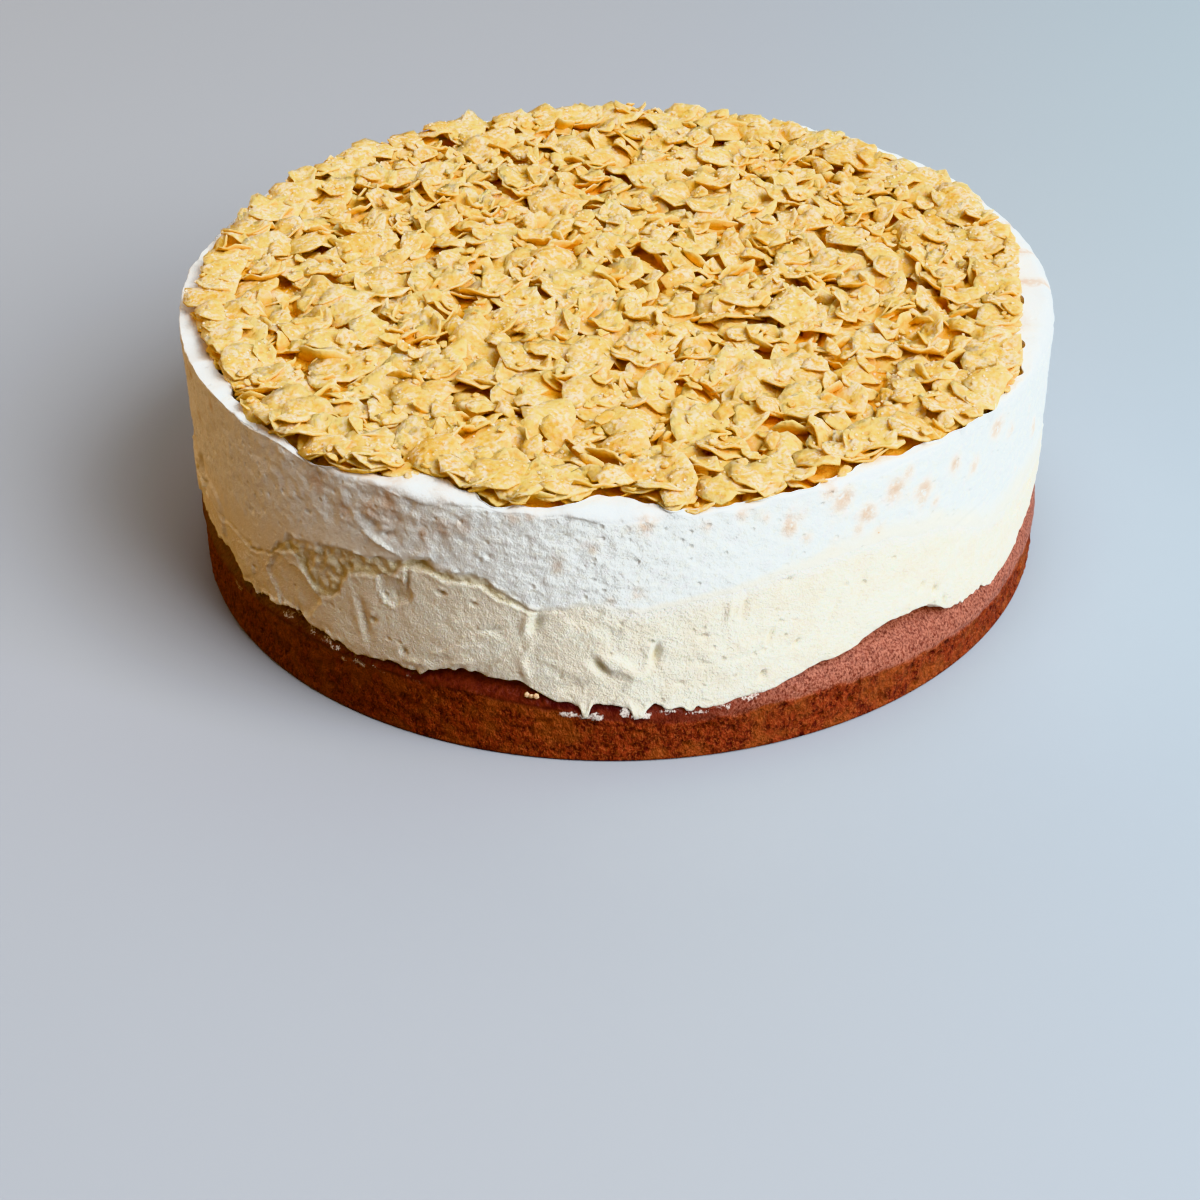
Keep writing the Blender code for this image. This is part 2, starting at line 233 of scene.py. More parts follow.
def plug(tree, socket, value):
    if isinstance(value, bpy.types.NodeSocket):
        tree.links.new(value, socket)
    elif isinstance(value, tuple) and len(socket.default_value) == 4:
        socket.default_value = (*value, 1)
    else:
        socket.default_value = value


def addNode(tree, kind, settings=(), **inputs):  # inputs by name with _ for a space, or by place as n0, n1
    made = tree.nodes.new(kind)
    for key, value in dict(settings).items():
        setattr(made, key, value)
    for key, value in inputs.items():
        socket = int(key[1:]) if key[1:].isdigit() else key.replace("_", " ")
        plug(tree, made.inputs[socket], value)
    return made


def mixColour(tree, share, first, second):
    return addNode(tree, "ShaderNodeMix", {"data_type": "RGBA"}, n0=share, n6=first, n7=second).outputs[2]


def coats(tree, tint, *layers):  # colours over a tint: where each lies, how strongly, and its colour
    for where, strength, colour in layers:
        share = where if strength == 1 else calc(tree, "MULTIPLY", where, strength)
        tint = mixColour(tree, share, tint, colour)
    return tint


def calc(tree, kind, *values):
    made = addNode(tree, "ShaderNodeMath", {"operation": kind})
    for spot, value in enumerate(values):
        plug(tree, made.inputs[spot], value)
    return made.outputs[0]


def ramp(tree, value, low, high):  # 0 below low, 1 above high, smooth between
    return addNode(tree, "ShaderNodeMapRange", {"interpolation_type": "SMOOTHSTEP"},
                   Value=value, From_Min=low, From_Max=high).outputs[0]


def objectPlace(tree):
    return addNode(tree, "ShaderNodeTexCoord").outputs["Object"]


def noise(tree, size, detail=2.0, rough=0.6):  # size in millimetres
    return addNode(tree, "ShaderNodeTexNoise", Vector=objectPlace(tree), Scale=1 / (size * mm), Detail=detail,
                   Roughness=rough).outputs[0]


def grainGroup():  # frozen or baked grain for the foods: two sizes of noise and a pitted pattern
    group = bpy.data.node_groups.new("foodGrain", "ShaderNodeTree")
    for name, default in (("Grain Size", 1.2), ("Pit Size", 2.5), ("Pit Share", 0.3), ("Stretch", 1.0)):
        socket = group.interface.new_socket(name, in_out="INPUT", socket_type="NodeSocketFloat")
        socket.default_value = default
    for name in ("Grain", "Fine", "Pits", "Height"):
        group.interface.new_socket(name, in_out="OUTPUT", socket_type="NodeSocketFloat")
    start = group.nodes.new("NodeGroupInput")
    end = group.nodes.new("NodeGroupOutput")
    squeeze = addNode(group, "ShaderNodeCombineXYZ", X=1.0, Y=1.0, Z=start.outputs["Stretch"])
    place = addNode(group, "ShaderNodeVectorMath", {"operation": "MULTIPLY"}, n0=objectPlace(group),
                    n1=squeeze.outputs[0]).outputs[0]

    def scaleFor(size, share=1.0):
        return calc(group, "DIVIDE", 1.0 / (share * mm), size)

    coarse = addNode(group, "ShaderNodeTexNoise", Vector=place, Scale=scaleFor(start.outputs["Grain Size"]),
                     Detail=3.0, Roughness=0.6).outputs[0]
    fine = addNode(group, "ShaderNodeTexNoise", Vector=place, Detail=2.0, Roughness=0.7,
                   Scale=scaleFor(start.outputs["Grain Size"], 0.4)).outputs[0]
    cells = addNode(group, "ShaderNodeTexVoronoi", {"feature": "F1"}, Vector=place, Randomness=1.0,
                    Scale=scaleFor(start.outputs["Pit Size"]))
    number = addNode(group, "ShaderNodeSeparateColor", Color=cells.outputs["Color"]).outputs[0]
    chosen = calc(group, "LESS_THAN", number, start.outputs["Pit Share"])
    deep = calc(group, "SUBTRACT", 1.0, ramp(group, cells.outputs["Distance"], 0.1, 0.45))
    pits = calc(group, "MULTIPLY", chosen, deep)
    height = calc(group, "ADD", calc(group, "MULTIPLY", coarse, 0.6), calc(group, "MULTIPLY", fine, 0.4))
    height = calc(group, "SUBTRACT", height, calc(group, "MULTIPLY", pits, 0.5))
    for name, socket in (("Grain", coarse), ("Fine", fine), ("Pits", pits), ("Height", height)):
        group.links.new(socket, end.inputs[name])
    return group


foodGrain = grainGroup()


def useGrain(tree, grainSize, pitSize, pitShare, stretch=1.0):
    made = addNode(tree, "ShaderNodeGroup", {"node_tree": foodGrain})
    for socket, value in zip(made.inputs, (grainSize, pitSize, pitShare, stretch)):
        socket.default_value = value
    return made.outputs


def attribute(tree, name):
    return addNode(tree, "ShaderNodeAttribute", {"attribute_name": name}).outputs["Fac"]


def setSurface(tree, shader, tint, rough, specular=0.5):
    plug(tree, shader.inputs["Base Color"], tint)
    plug(tree, shader.inputs["Roughness"], rough)
    plug(tree, shader.inputs["Specular IOR Level"], specular)


def bumpTo(tree, shader, height, depth):
    bump = addNode(tree, "ShaderNodeBump", Height=height, Distance=depth * mm, Strength=1.0)
    tree.links.new(bump.outputs[0], shader.inputs["Normal"])


def softInside(shader, share, reach, tint):  # light that sinks in a little, as it does in frozen cream
    shader.inputs["Subsurface Weight"].default_value = share
    shader.inputs["Subsurface Radius"].default_value = tint
    shader.inputs["Subsurface Scale"].default_value = reach * mm


# sponge base
spongeLook = {"radius": 114.5, "footRound": 0.8, "segments": 1080, "rowStep": 0.62, "crumb": 0.46,
              "shoulderTurns": 26, "wave": 0.4, "edgeWave": 0.25, "shadeShare": 0.85,
              "crumbDark": (0.08, 0.009, 0.006), "crumbBrown": (0.27, 0.044, 0.018),
              "crumbPale": (0.50, 0.135, 0.052), "crumbWarm": (0.42, 0.12, 0.036),
              "poreDark": (0.04, 0.006, 0.004), "crustDark": (0.075, 0.009, 0.006),
              "crustBrown": (0.16, 0.03, 0.018), "sheenPink": (0.46, 0.17, 0.11),
              "shadeBrown": (0.034, 0.003, 0.004), "rubbedCream": (0.84, 0.77, 0.70)}
# ice cream that rubbed off on the sponge: azimuth, height, half width, half height, strength
rubbedFrost = [(-6.4, 14.0, 2.4, 1.0, 0.85), (-4.4, 13.7, 1.6, 0.8, 0.7), (-2.9, 13.6, 1.9, 1.2, 1.0),
               (0.4, 14.8, 1.3, 1.3, 0.9), (2.4, 13.8, 2.8, 1.0, 1.0), (5.6, 14.3, 2.8, 0.7, 0.55),
               (9.0, 13.4, 3.0, 0.7, 0.55), (12.6, 14.2, 2.2, 0.8, 0.6), (15.6, 15.4, 2.4, 0.9, 0.6),
               (-33.8, 16.2, 2.2, 1.1, 0.85), (-36.6, 15.0, 1.4, 0.7, 0.7), (-46.6, 18.6, 2.4, 0.9, 0.55),
               (-58.7, 15.2, 2.4, 1.0, 0.5)]


# radius and height on the baked shoulder, from its edge at turn 0 to its crown at 90
def crustAt(azimuth, turn):
    angle = np.radians(turn)
    edge = eased(wallTop, azimuth)
    radius = crownRadius + (spongeLook["radius"] - crownRadius) * np.cos(angle)
    return radius, edge + (crownHeight - edge) * np.sin(angle)


def crustHeightAt(azimuth, radius):
    edge = eased(wallTop, azimuth)
    share = np.clip((radius - crownRadius) / (spongeLook["radius"] - crownRadius), 0, 1)
    return edge + (crownHeight - edge) * np.sqrt(1 - share ** 2)


def spongeMaterial():
    look = spongeLook
    material, tree, shader = newMaterial("spongeCrumb")
    grain = useGrain(tree, 1.3, 2.4, 0.15, 0.7)
    crust, rubbed = attribute(tree, "crust"), attribute(tree, "frost")
    crumb = coats(tree, look["crumbDark"],
                  (ramp(tree, grain["Grain"], 0.36, 0.62), 1, look["crumbBrown"]),
                  (ramp(tree, grain["Fine"], 0.48, 0.68), 0.6, look["crumbPale"]),
                  (grain["Pits"], 0.4, look["poreDark"]),
                  (ramp(tree, noise(tree, 9.0), 0.44, 0.64), 0.4, look["crumbWarm"]))
    # painted sheen: the crust's pink on the right stands in for reflected light
    paintedSheen = calc(tree, "MULTIPLY", attribute(tree, "paintedSheen"), ramp(tree, grain["Fine"], 0.3, 0.7))
    baked = coats(tree, look["crustDark"],
                  (ramp(tree, grain["Grain"], 0.34, 0.66), 1, look["crustBrown"]),
                  (paintedSheen, 1, look["sheenPink"]))
    ragged = calc(tree, "MULTIPLY_ADD", grain["Fine"], 2.8, -1.4)
    frost = ramp(tree, calc(tree, "ADD", rubbed, ragged), 0.3, 0.95)
    frost = calc(tree, "MULTIPLY", frost, ramp(tree, rubbed, 0.02, 0.4))
    # painted shade: the dark brown under the ice cream's edge and over the sponge's left
    tint = coats(tree, crumb, (crust, 1, baked), (attribute(tree, "paintedShade"), 1, look["shadeBrown"]),
                 (frost, 0.85, look["rubbedCream"]))
    setSurface(tree, shader, tint, calc(tree, "SUBTRACT", 0.8, calc(tree, "MULTIPLY", crust, 0.32)), 0.22)
    strength = calc(tree, "SUBTRACT", 1.0, calc(tree, "MULTIPLY", crust, 0.7))
    bumpTo(tree, shader, calc(tree, "MULTIPLY", grain["Height"], strength), 2.4)
    return material


def makeSponge():
    look = spongeLook
    azimuth = evenAzimuths(look["segments"])
    edge = eased(wallTop, azimuth) + look["edgeWave"] * lumps(onCake(cakeRadius, azimuth, 0.0), 5, 2)
    foot = look["footRound"]
    rings = [(look["radius"] - foot, 0 * azimuth), (look["radius"] - foot * 0.3, 0 * azimuth + foot * 0.3)]
    rows = int(edge.max() / look["rowStep"])
    for share in np.linspace(0, 1, rows):
        height = foot + (edge - foot) * share
        wave = look["wave"] * (0.5 + 0.5 * lumps(onCake(cakeRadius, azimuth, height), 24, 3))
        rings.append((look["radius"] - 0.25 - wave * np.sin(math.pi * share), height))
    for turn in np.linspace(0, 90, look["shoulderTurns"])[1:]:
        rings.append(crustAt(azimuth, turn))
    points, height, around = ringPoints(rings, azimuth)
    crust = smooth(-1.2, 0.6, height - edge + 0.9 * lumps(points, 3.5, 41))
    crumb = roughness(points, 2.6, 2, 7) * 0.6 + lumps(points, 1.3, 9) * 0.5
    pores = -1.6 * smooth(0.5, 0.85, lumps(points, 2.2, 43)) * (1 - crust)
    frost = np.zeros(height.shape)
    for spot, level, halfWidth, halfHeight, strength in rubbedFrost:
        away = wallAway(around, spot) / halfWidth
        patch = np.exp(-(away ** 2 + ((height - level) / halfHeight) ** 2))
        frost = np.maximum(frost, strength * smooth(0.25, 0.6, patch + 0.4 * patch * lumps(points, 1.6, 45)))
    below = lowEdgeAt(around) - height
    film = smooth(3.6, 2.2, below) * smooth(1.0, 2.0, below) * smooth(0.0, 0.5, lumps(points, 3.0, 49))
    frost = np.maximum(frost, 0.55 * film * smooth(-82, -72, around) * smooth(-20, -30, around))
    paintedShade = smooth(2.2, 0.6, below + 0.7 * lumps(points, 1.6, 47))  # painted shade under the ice cream's edge
    paintedShade = paintedShade * smooth(12, -2, around) * smooth(-150, -110, around)
    shadeShare = smooth(-8, -42, around) * smooth(-175, -120, around)  # painted shade on the left, the side turned away from the light
    shadeShare = shadeShare * (0.48 + 0.1 * lumps(points, 7, 55))
    paintedShade = np.maximum(paintedShade, shadeShare)
    depth = look["crumb"] * (crumb + pores) * (1 - 0.75 * crust)
    depth = depth + 0.22 * lumps(points, 12, 5) * crust + 0.2 * frost
    depth[:2] = 0
    points = points + gridNormals(points) * depth[..., None]
    points[0, :, 2] = 0
    points[..., 2] = np.maximum(points[..., 2], 0)
    keepWithin(points, look["radius"] + 0.15)
    # painted sheen: the crust is painted pinker towards the right, where it faces the light
    paintedSheen = smooth(2, 26, around) * smooth(150, 100, around) * 0.95 + 0.03
    values = {"crust": crust, "frost": frost, "paintedSheen": paintedSheen, "paintedShade": look["shadeShare"] * paintedShade}
    return gridObject("spongeBase", points, values)


dress(makeSponge(), ["sponge_base"], spongeMaterial())


# the ice cream wall, which both ice creams share: marks that the spatula and the mould left in it
wallLook = {"inset": 0.75, "wave": 0.3, "stipple": 0.12, "icy": 0.17, "smears": 84, "smearRise": 0.5,
            "seed": 21, "backMarks": 90, "backAzimuths": (66, 292), "backLevels": (22, 52),
            "bandDepth": 0.5}
# azimuth, height, half length, half width, depth (negative stands proud), turn in degrees from level
frontMarks = [    (-23.7, 51.0, 2.8, 1.7, 2.0, 12), (-21.3, 44.4, 0.9, 0.7, 1.7, 0),
              (-17.3, 43.0, 0.8, 0.6, 1.3, 0), (-9.8, 39.3, 3.4, 1.2, 1.1, 70),
              (-11.0, 39.6, 4.2, 0.9, -0.6, 76), (-10.8, 32.4, 4.4, 1.2, -0.55, 66),
              (-11.4, 26.0, 3.8, 1.1, -0.5, 104), (-2.3, 27.9, 3.0, 1.3, 2.0, -54),
              (0.2, 28.2, 5.4, 1.8, -1.2, -36), (4.1, 31.0, 3.4, 1.1, 1.6, 80),
              (-15.6, 36.0, 4.6, 0.6, 0.5, 14), (-31.1, 31.0, 1.0, 0.8, 1.2, 0),
              (-27.0, 24.3, 1.0, 0.9, 1.2, 60), (-32.4, 30.0, 6.5, 1.4, 0.8, 100),
              (-27.4, 40.2, 2.6, 2.2, 0.9, 30), (-30.0, 59.0, 2.2, 1.5, 1.0, -30),
              (-28.0, 57.0, 1.6, 1.0, 0.9, 20), (-27.5, 67.0, 4.0, 1.8, 0.6, 0),
              (17.1, 21.6, 1.3, 0.8, 1.5, 80), (9.8, 35.5, 1.0, 0.8, 1.0, 0),
              (21.3, 28.8, 1.2, 0.8, 1.1, 60), (17.9, 32.3, 3.0, 0.8, 1.1, 74),
              (19.1, 36.0, 1.0, 0.7, 0.8, 0), (12.9, 42.3, 3.6, 0.9, -0.8, 80),
              (14.6, 42.0, 3.2, 1.0, 0.8, 80), (20.0, 47.4, 1.0, 0.8, 0.9, 0),
              (39.9, 31.3, 1.5, 1.0, 1.3, 70), (42.3, 28.0, 1.7, 1.1, 1.6, 90),
              (44.4, 23.0, 2.4, 1.0, 1.0, 86), (48.0, 44.0, 5.0, 1.2, 0.7, 10),
              (62.0, 30.0, 6.0, 1.0, -0.5, 12), (7.0, 22.5, 1.0, 0.8, 0.7, 0),
              (-5.5, 22.0, 5.0, 1.4, 0.6, 20), (26.0, 34.0, 6.5, 1.0, 0.5, 70),
              (30.0, 40.0, 7.0, 1.1, 0.5, 74), (36.0, 36.0, 6.0, 1.0, 0.5, 72),
              (-19.5, 25.0, 5.0, 0.9, -0.5, 22), (-25.0, 22.2, 4.6, 0.9, -0.6, 8),
              (-28.8, 54.0, 5.4, 0.55, -0.9, -22), (-25.7, 45.8, 3.2, 0.5, 1.1, 85),
              (-52.0, 45.0, 0.9, 0.7, 1.0, 0), (-40.0, 55.0, 0.8, 0.6, 0.9, 0),
              (-62.0, 52.0, 0.9, 0.7, 0.9, 0)]
# flat facets where the spatula left a skin: azimuth, height, half length, half width, turn, rise
frontFacets = [(-44.6, 29.6, 9.2, 7.2, 0, -0.5), (-27.8, 41.6, 4.4, 4.2, 0, -0.7),
               (-19.0, 31.0, 10.0, 6.5, 6, 0.15), (-5.2, 33.0, 8.0, 9.0, 90, 0.25),
               (14.0, 27.0, 9.0, 6.0, 30, 0.15), (33.0, 33.0, 9.0, 7.0, -15, 0.15),
               (-55.0, 27.0, 6.0, 4.0, 60, 0.3)]
# the rough hollow band where the layers tore: its upper and lower edge at the left of the front, and its
# share elsewhere
bandTop = [(-58, 34.2), (-53, 33.6), (-49, 35.6), (-46.4, 40.6), (-44, 45.2), (-41, 45.2), (-38.7, 47.4),
           (-35, 48.4), (-31, 48.5), (-29, 50.4), (-26, 51.2), (-24.6, 52.0), (-22.6, 50.6), (-20, 50.6),
           (-17, 51.2), (-12, 46.8)]
bandLow = [(-58, 33.2), (-53, 32.2), (-49, 34.7), (-46.4, 38.4), (-43.4, 40.4), (-42.2, 36.6),
           (-40.6, 33.4), (-39.4, 31.4), (-37.6, 32.4), (-36.2, 34.8), (-35.2, 39.4), (-34, 42.2),
           (-31, 43.8), (-28, 45.4), (-26.2, 48.8), (-24.6, 49.8), (-22.6, 49.4), (-20.6, 48.0),
           (-17, 48.4), (-12, 43.0)]
tornEdge = [(-150, 0.3), (-95, 0.7), (-60, 0.4), (-16, 0.8), (-8, 0.3), (4, 0.0), (30, 0.0), (85, 0.0),
            (125, 0.7), (165, 0.5)]
# how far up from their meeting line the coffee's colour runs into the vanilla
blendReach = [(-150, 3.0), (-100, 6.0), (-60, 14.0), (-40, 13.0), (-31, 9.0), (-25, 3.5), (-10, 1.6),
              (4, 2.2), (16, 3.0), (30, 7.0), (60, 9.0), (100, 6.0), (140, 2.5)]


def makeBackMarks(draw):  # the same kinds of marks go on round the back
    look = wallLook
    marks, facets = [], []
    for number in range(look["backMarks"]):
        azimuth, level = draw.uniform(*look["backAzimuths"]), draw.uniform(*look["backLevels"])
        if number % 3:  # a dent
            size = draw.uniform(0.6, 1.8)
            long = size * draw.uniform(1, 2)
            marks.append((azimuth, level, long, size, draw.uniform(0.6, 1.8), draw.uniform(-90, 90)))
        else:  # a scrape
            long, wide, depth = draw.uniform(4, 9), draw.uniform(0.7, 1.4), draw.uniform(-0.9, 0.7)
            marks.append((azimuth, level, long, wide, depth, draw.uniform(-40, 90)))
        if number % 4 == 0:
            long, wide, turn = draw.uniform(5, 10), draw.uniform(3, 7), draw.uniform(-90, 90)
            facets.append((azimuth + 9, level, long, wide, turn, draw.choice((-1.0, -0.4, 0.35, 0.6))))
    return frontMarks + marks, frontFacets + facets


wallMarks, wallFacets = makeBackMarks(random.Random(wallLook["seed"]))


def inMark(azimuth, height, spot, level, halfLength, halfWidth, turn):
    away, up = wallAway(azimuth, spot), height - level
    c, s = math.cos(math.radians(turn)), math.sin(math.radians(turn))
    return (away * c + up * s) / halfLength, (up * c - away * s) / halfWidth


def tornBand(azimuth, height, line, spots):  # relief and share of the rough hollow band along the layer line
    top = line + 0.3 + 0.5 * lumps(spots, 2.2, 62)
    low = top - 0.2 - eased(tornEdge, azimuth) * (2.4 + 2.0 * lumps(spots, 8.0, 56))
    front = smooth(-60, -57, azimuth) * smooth(-12, -16, azimuth)
    fray = 0.45 * lumps(spots, 2.0, 64) + 0.3 * lumps(spots, 1.2, 66)
    top = top + (eased(bandTop, azimuth) + fray - top) * front
    low = low + (eased(bandLow, azimuth) + 0.4 * fray - low) * front
    slope = (eased(bandLow, azimuth + 0.25) - eased(bandLow, azimuth - 0.25)) * front  # along the wall
    toTop, toLow = top - height, (height - low) / np.hypot(1, slope)
    present = smooth(0.4, 1.4, top - low)
    inside = smooth(-0.5, 0.7, toTop) * smooth(-0.35, 0.5, toLow) * present
    relief = inside * (0.55 * roughness(spots, 1.7, 2, 57) - wallLook["bandDepth"])
    flecks = smooth(0.0, 0.5, lumps(spots, 2.0, 60))
    raised = 0.4 * flecks * np.exp(-((toTop + 0.4) / 0.5) ** 2) + 0.2 * np.exp(-((toLow + 0.5) / 0.5) ** 2)
    relief += present * raised  # its torn edges stand up a little
    return relief, inside * (0.7 + 0.2 * lumps(spots, 1.7, 68) + 0.4 * front * smooth(3.5, 0.8, toLow))


def icyPatch(azimuth, height):  # rough greyish patch under the rim at the front's left
    return np.exp(-((azimuth + 29) / 12) ** 2) * smooth(54, 60, height)


def wallRelief(azimuth, height):  # how far the wall stands out from its radius, and the torn band's share with how deep its dents are, for painted shade in the dents
    azimuth, height = np.broadcast_arrays(np.asarray(azimuth, float), np.asarray(height, float))
    spots = onCake(cakeRadius, azimuth, height)
    line = layerLineAt(azimuth)
    icy = smooth(0.2, 0.85, (height - line + 1.2 * lumps(spots, 5, 15)) / eased(blendReach, azimuth))
    dents = np.zeros(height.shape)
    for spot, level, halfLength, halfWidth, depth, turn in wallMarks:
        along, across = inMark(azimuth, height, spot, level, halfLength, halfWidth, turn)
        dents -= depth * np.exp(-(along ** 2 + across ** 2) * 1.3)
        if depth > 0.6:  # a dent throws up a small rim on its upper side
            dents += 0.3 * depth * np.exp(-(along ** 2 + (across - 1.4) ** 2 * 2.2))
    ragged = 0.2 * lumps(spots, 3.0, 16) + 0.2 * lumps(spots, 7.0, 18)
    facets = np.zeros(height.shape)
    for spot, level, halfLength, halfWidth, turn, rise in wallFacets:
        along, across = inMark(azimuth, height, spot, level, halfLength, halfWidth, turn)
        reach = np.sqrt(along ** 2 + across ** 2) + ragged
        rim = 0.35 * abs(rise) * np.exp(-((reach - 1.0) / 0.08) ** 2)
        facets += rise * (1 - smooth(0.88, 1.0, reach)) + rim
    draw = random.Random(wallLook["seed"] + 1)
    smears = np.zeros(height.shape)
    for number in range(wallLook["smears"]):
        spot, level = draw.uniform(-180, 180), draw.uniform(16, 60)
        halfLength, halfWidth, turn = draw.uniform(5, 18), draw.uniform(2.0, 6.0), draw.uniform(-40, 70)
        along, across = inMark(azimuth, height, spot, level, halfLength, halfWidth, turn)
        reach = np.sqrt(along ** 2 + across ** 2) + ragged
        tilt = 0.5 + 0.5 * np.clip(draw.choice((-1, 1)) * across, -1, 1)
        smears += draw.uniform(0.3, 1.0) * wallLook["smearRise"] * tilt ** 2 * (1 - smooth(0.84, 1.0, reach))
    stipple = roughness(spots, 2.6, 2, 51) + 0.9 * lumps(spots, 6.5, 53)
    stipple = stipple - 0.8 * smooth(0.6, 0.9, lumps(spots, 2.3, 54))  # its pits
    stipple = stipple * (1 - 0.7 * smooth(0.0, 3.0, height - line))  # less where the vanilla was smeared over
    grains = roughness(spots, 3.2, 2, 71) + 0.7 * lumps(spots, 1.4, 73)
    grains = grains - 0.9 * smooth(0.4, 0.8, lumps(spots, 3.0, 74))
    band, bandShare = tornBand(azimuth, height, line, spots)
    smears = np.minimum(smears, 1.0) * (1 - 0.75 * icy) * (1 - bandShare)
    relief = dents + facets * (1 - 0.6 * icy) + smears + band
    grainy = wallLook["icy"] * grains * (icy + icyPatch(azimuth, height))
    relief += wallLook["stipple"] * stipple * (1 - icy) + grainy
    relief -= wallLook["inset"] + wallLook["wave"] * (1 + lumps(spots, 24, 11)) / 2
    return relief, np.clip(bandShare - 0.6 * dents, 0, 3)


# coffee ice cream
coffeeLook = {"segments": 1200, "rowStep": 0.6, "underRows": 8, "slope": 0.9, "edgeRound": 0.5,
              "dripRise": 0.7, "cream": (0.885, 0.825, 0.69), "paleCream": (0.91, 0.885, 0.765),
              "coffeeGrain": (0.76, 0.66, 0.48), "whiteBlend": (0.93, 0.91, 0.84),
              "hollowBeige": (0.62, 0.51, 0.27), "pitBrown": (0.62, 0.50, 0.30),
              "tuck": [(-160, 0.8), (-110, 0.3), (-25, 0.3), (-14, 0.5), (-8, 0.2), (8, 0.0), (16, 0.5),
                       (42, 0.6), (50, 0.5), (70, 0.6), (100, 0.4), (150, 0.4)]}


def coffeeMaterial():
    look = coffeeLook
    material, tree, shader = newMaterial("coffeeIceCream")
    grain = useGrain(tree, 1.1, 2.4, 0.07)
    # the beige from the hollow attribute is the torn band's own colour, and painted shade in the dents
    tint = coats(tree, look["cream"],
                 (ramp(tree, noise(tree, 7.0), 0.4, 0.62), 1, look["paleCream"]),
                 (ramp(tree, grain["Grain"], 0.6, 0.3), 0.3, look["coffeeGrain"]),
                 (attribute(tree, "blend"), 1, look["whiteBlend"]),
                 (attribute(tree, "hollow"), 0.8, look["hollowBeige"]),
                 (grain["Pits"], 0.25, look["pitBrown"]))
    setSurface(tree, shader, tint, 0.48, 0.4)
    softInside(shader, 0.2, 1.2, (1.0, 0.75, 0.45))
    bumpTo(tree, shader, grain["Height"], 0.7)
    return material


def makeCoffee():
    look = coffeeLook
    azimuth = evenAzimuths(look["segments"])
    drip = sum(np.exp(-((azimuth - spot) / (1.3 * width)) ** 4) for spot, drop, width in drips if drop > 2)
    tuck = eased(look["tuck"], azimuth) * (1 - drip)  # how far the lower edge turns in towards the crust
    low = np.maximum(lowEdgeAt(azimuth), crustAt(azimuth, 0.0)[1] - 4.0)
    line = layerLineAt(azimuth)
    rings = []
    foot = cakeRadius - tuck - look["edgeRound"] - 2.4
    # out over the crust, then free under the wall's edge
    for share in np.linspace(0, 1, look["underRows"]) ** 0.7:
        radius = crownRadius + (foot - crownRadius) * share
        free = low - (foot - radius) * look["slope"] - 0.4
        rings.append((radius, np.maximum(crustHeightAt(azimuth, radius) + 0.3, free)))
    rings.append((cakeRadius - tuck - look["edgeRound"] - 0.7, low + 0.1))
    rings.append((cakeRadius - tuck - look["edgeRound"] * 0.5, low))
    rows = int((line - low).max() / look["rowStep"])
    for share in np.linspace(0, 1, rows):
        start = low + look["edgeRound"] * 0.6
        level = start + (line - start) * share
        rings.append((cakeRadius - tuck * np.clip(1 - (level - low) / 5.0, 0, 1) ** 2, level))
    rings += [(cakeRadius + 0 * azimuth, line + 0.12), (cakeRadius - 0.5, line + 0.3),
              (cakeRadius - 2.0, line + 0.6)]
    rings.append((crownRadius, layerMiddle + 0 * azimuth))
    points, height, around = ringPoints(rings, azimuth)
    relief, hollow = wallRelief(around, height)
    edge = smooth(2.0, 0.0, height - low)
    relief = relief + edge * (0.1 + 0.45 * lumps(points, 1.5, 59)) * eased(edgeRagged, around)
    relief = relief + look["dripRise"] * drip * smooth(3.6, 1.0, height - low)
    fade = np.ones(points.shape[0])
    fade[:look["underRows"]] = 0
    fade[-1] = 0
    points = points + outward(points) * (relief * fade[:, None])[..., None]
    keepWithin(points, cakeRadius - 0.15)
    blend = smooth(4.0, 0.0, line - height) * smooth(0.35, 0.0, eased(tornEdge, around)) * 0.8
    return gridObject("coffeeIceCream", points, {"hollow": smooth(0.1, 1.3, hollow), "blend": blend})


dress(makeCoffee(), ["coffee_ice_cream"], coffeeMaterial())


# vanilla ice cream
vanillaLook = {"segments": 1120, "rowStep": 0.6, "ragged": 1.3, "crest": 71.3, "crestWave": 0.75,
               "draft": 0.8, "roundLeast": 0.5, "turnRows": 8, "lipDrop": 0.95, "lipLeast": 1.3,
               "backBits": 110, "frontEnd": 58, "bitSeed": 4, "white": (0.92, 0.97, 0.96),
               "gapGrey": (0.72, 0.73, 0.72), "pitGrey": (0.70, 0.65, 0.57),
               "creamySpecks": (0.90, 0.89, 0.74), "rosySpecks": (0.84, 0.80, 0.84),
               "lipWhite": (0.84, 0.87, 0.88), "stainBrown": (0.62, 0.41, 0.26),
               "coffeeBlend": (0.89, 0.85, 0.74), "hollowBeige": (0.64, 0.53, 0.30),
               "roundShare": [(-150, 0.3), (-110, 0.12), (-50, 0.06), (-30, 0.3), (-12, 0.4), (10, 0.45),
                              (50, 0.35), (150, 0.34)]}
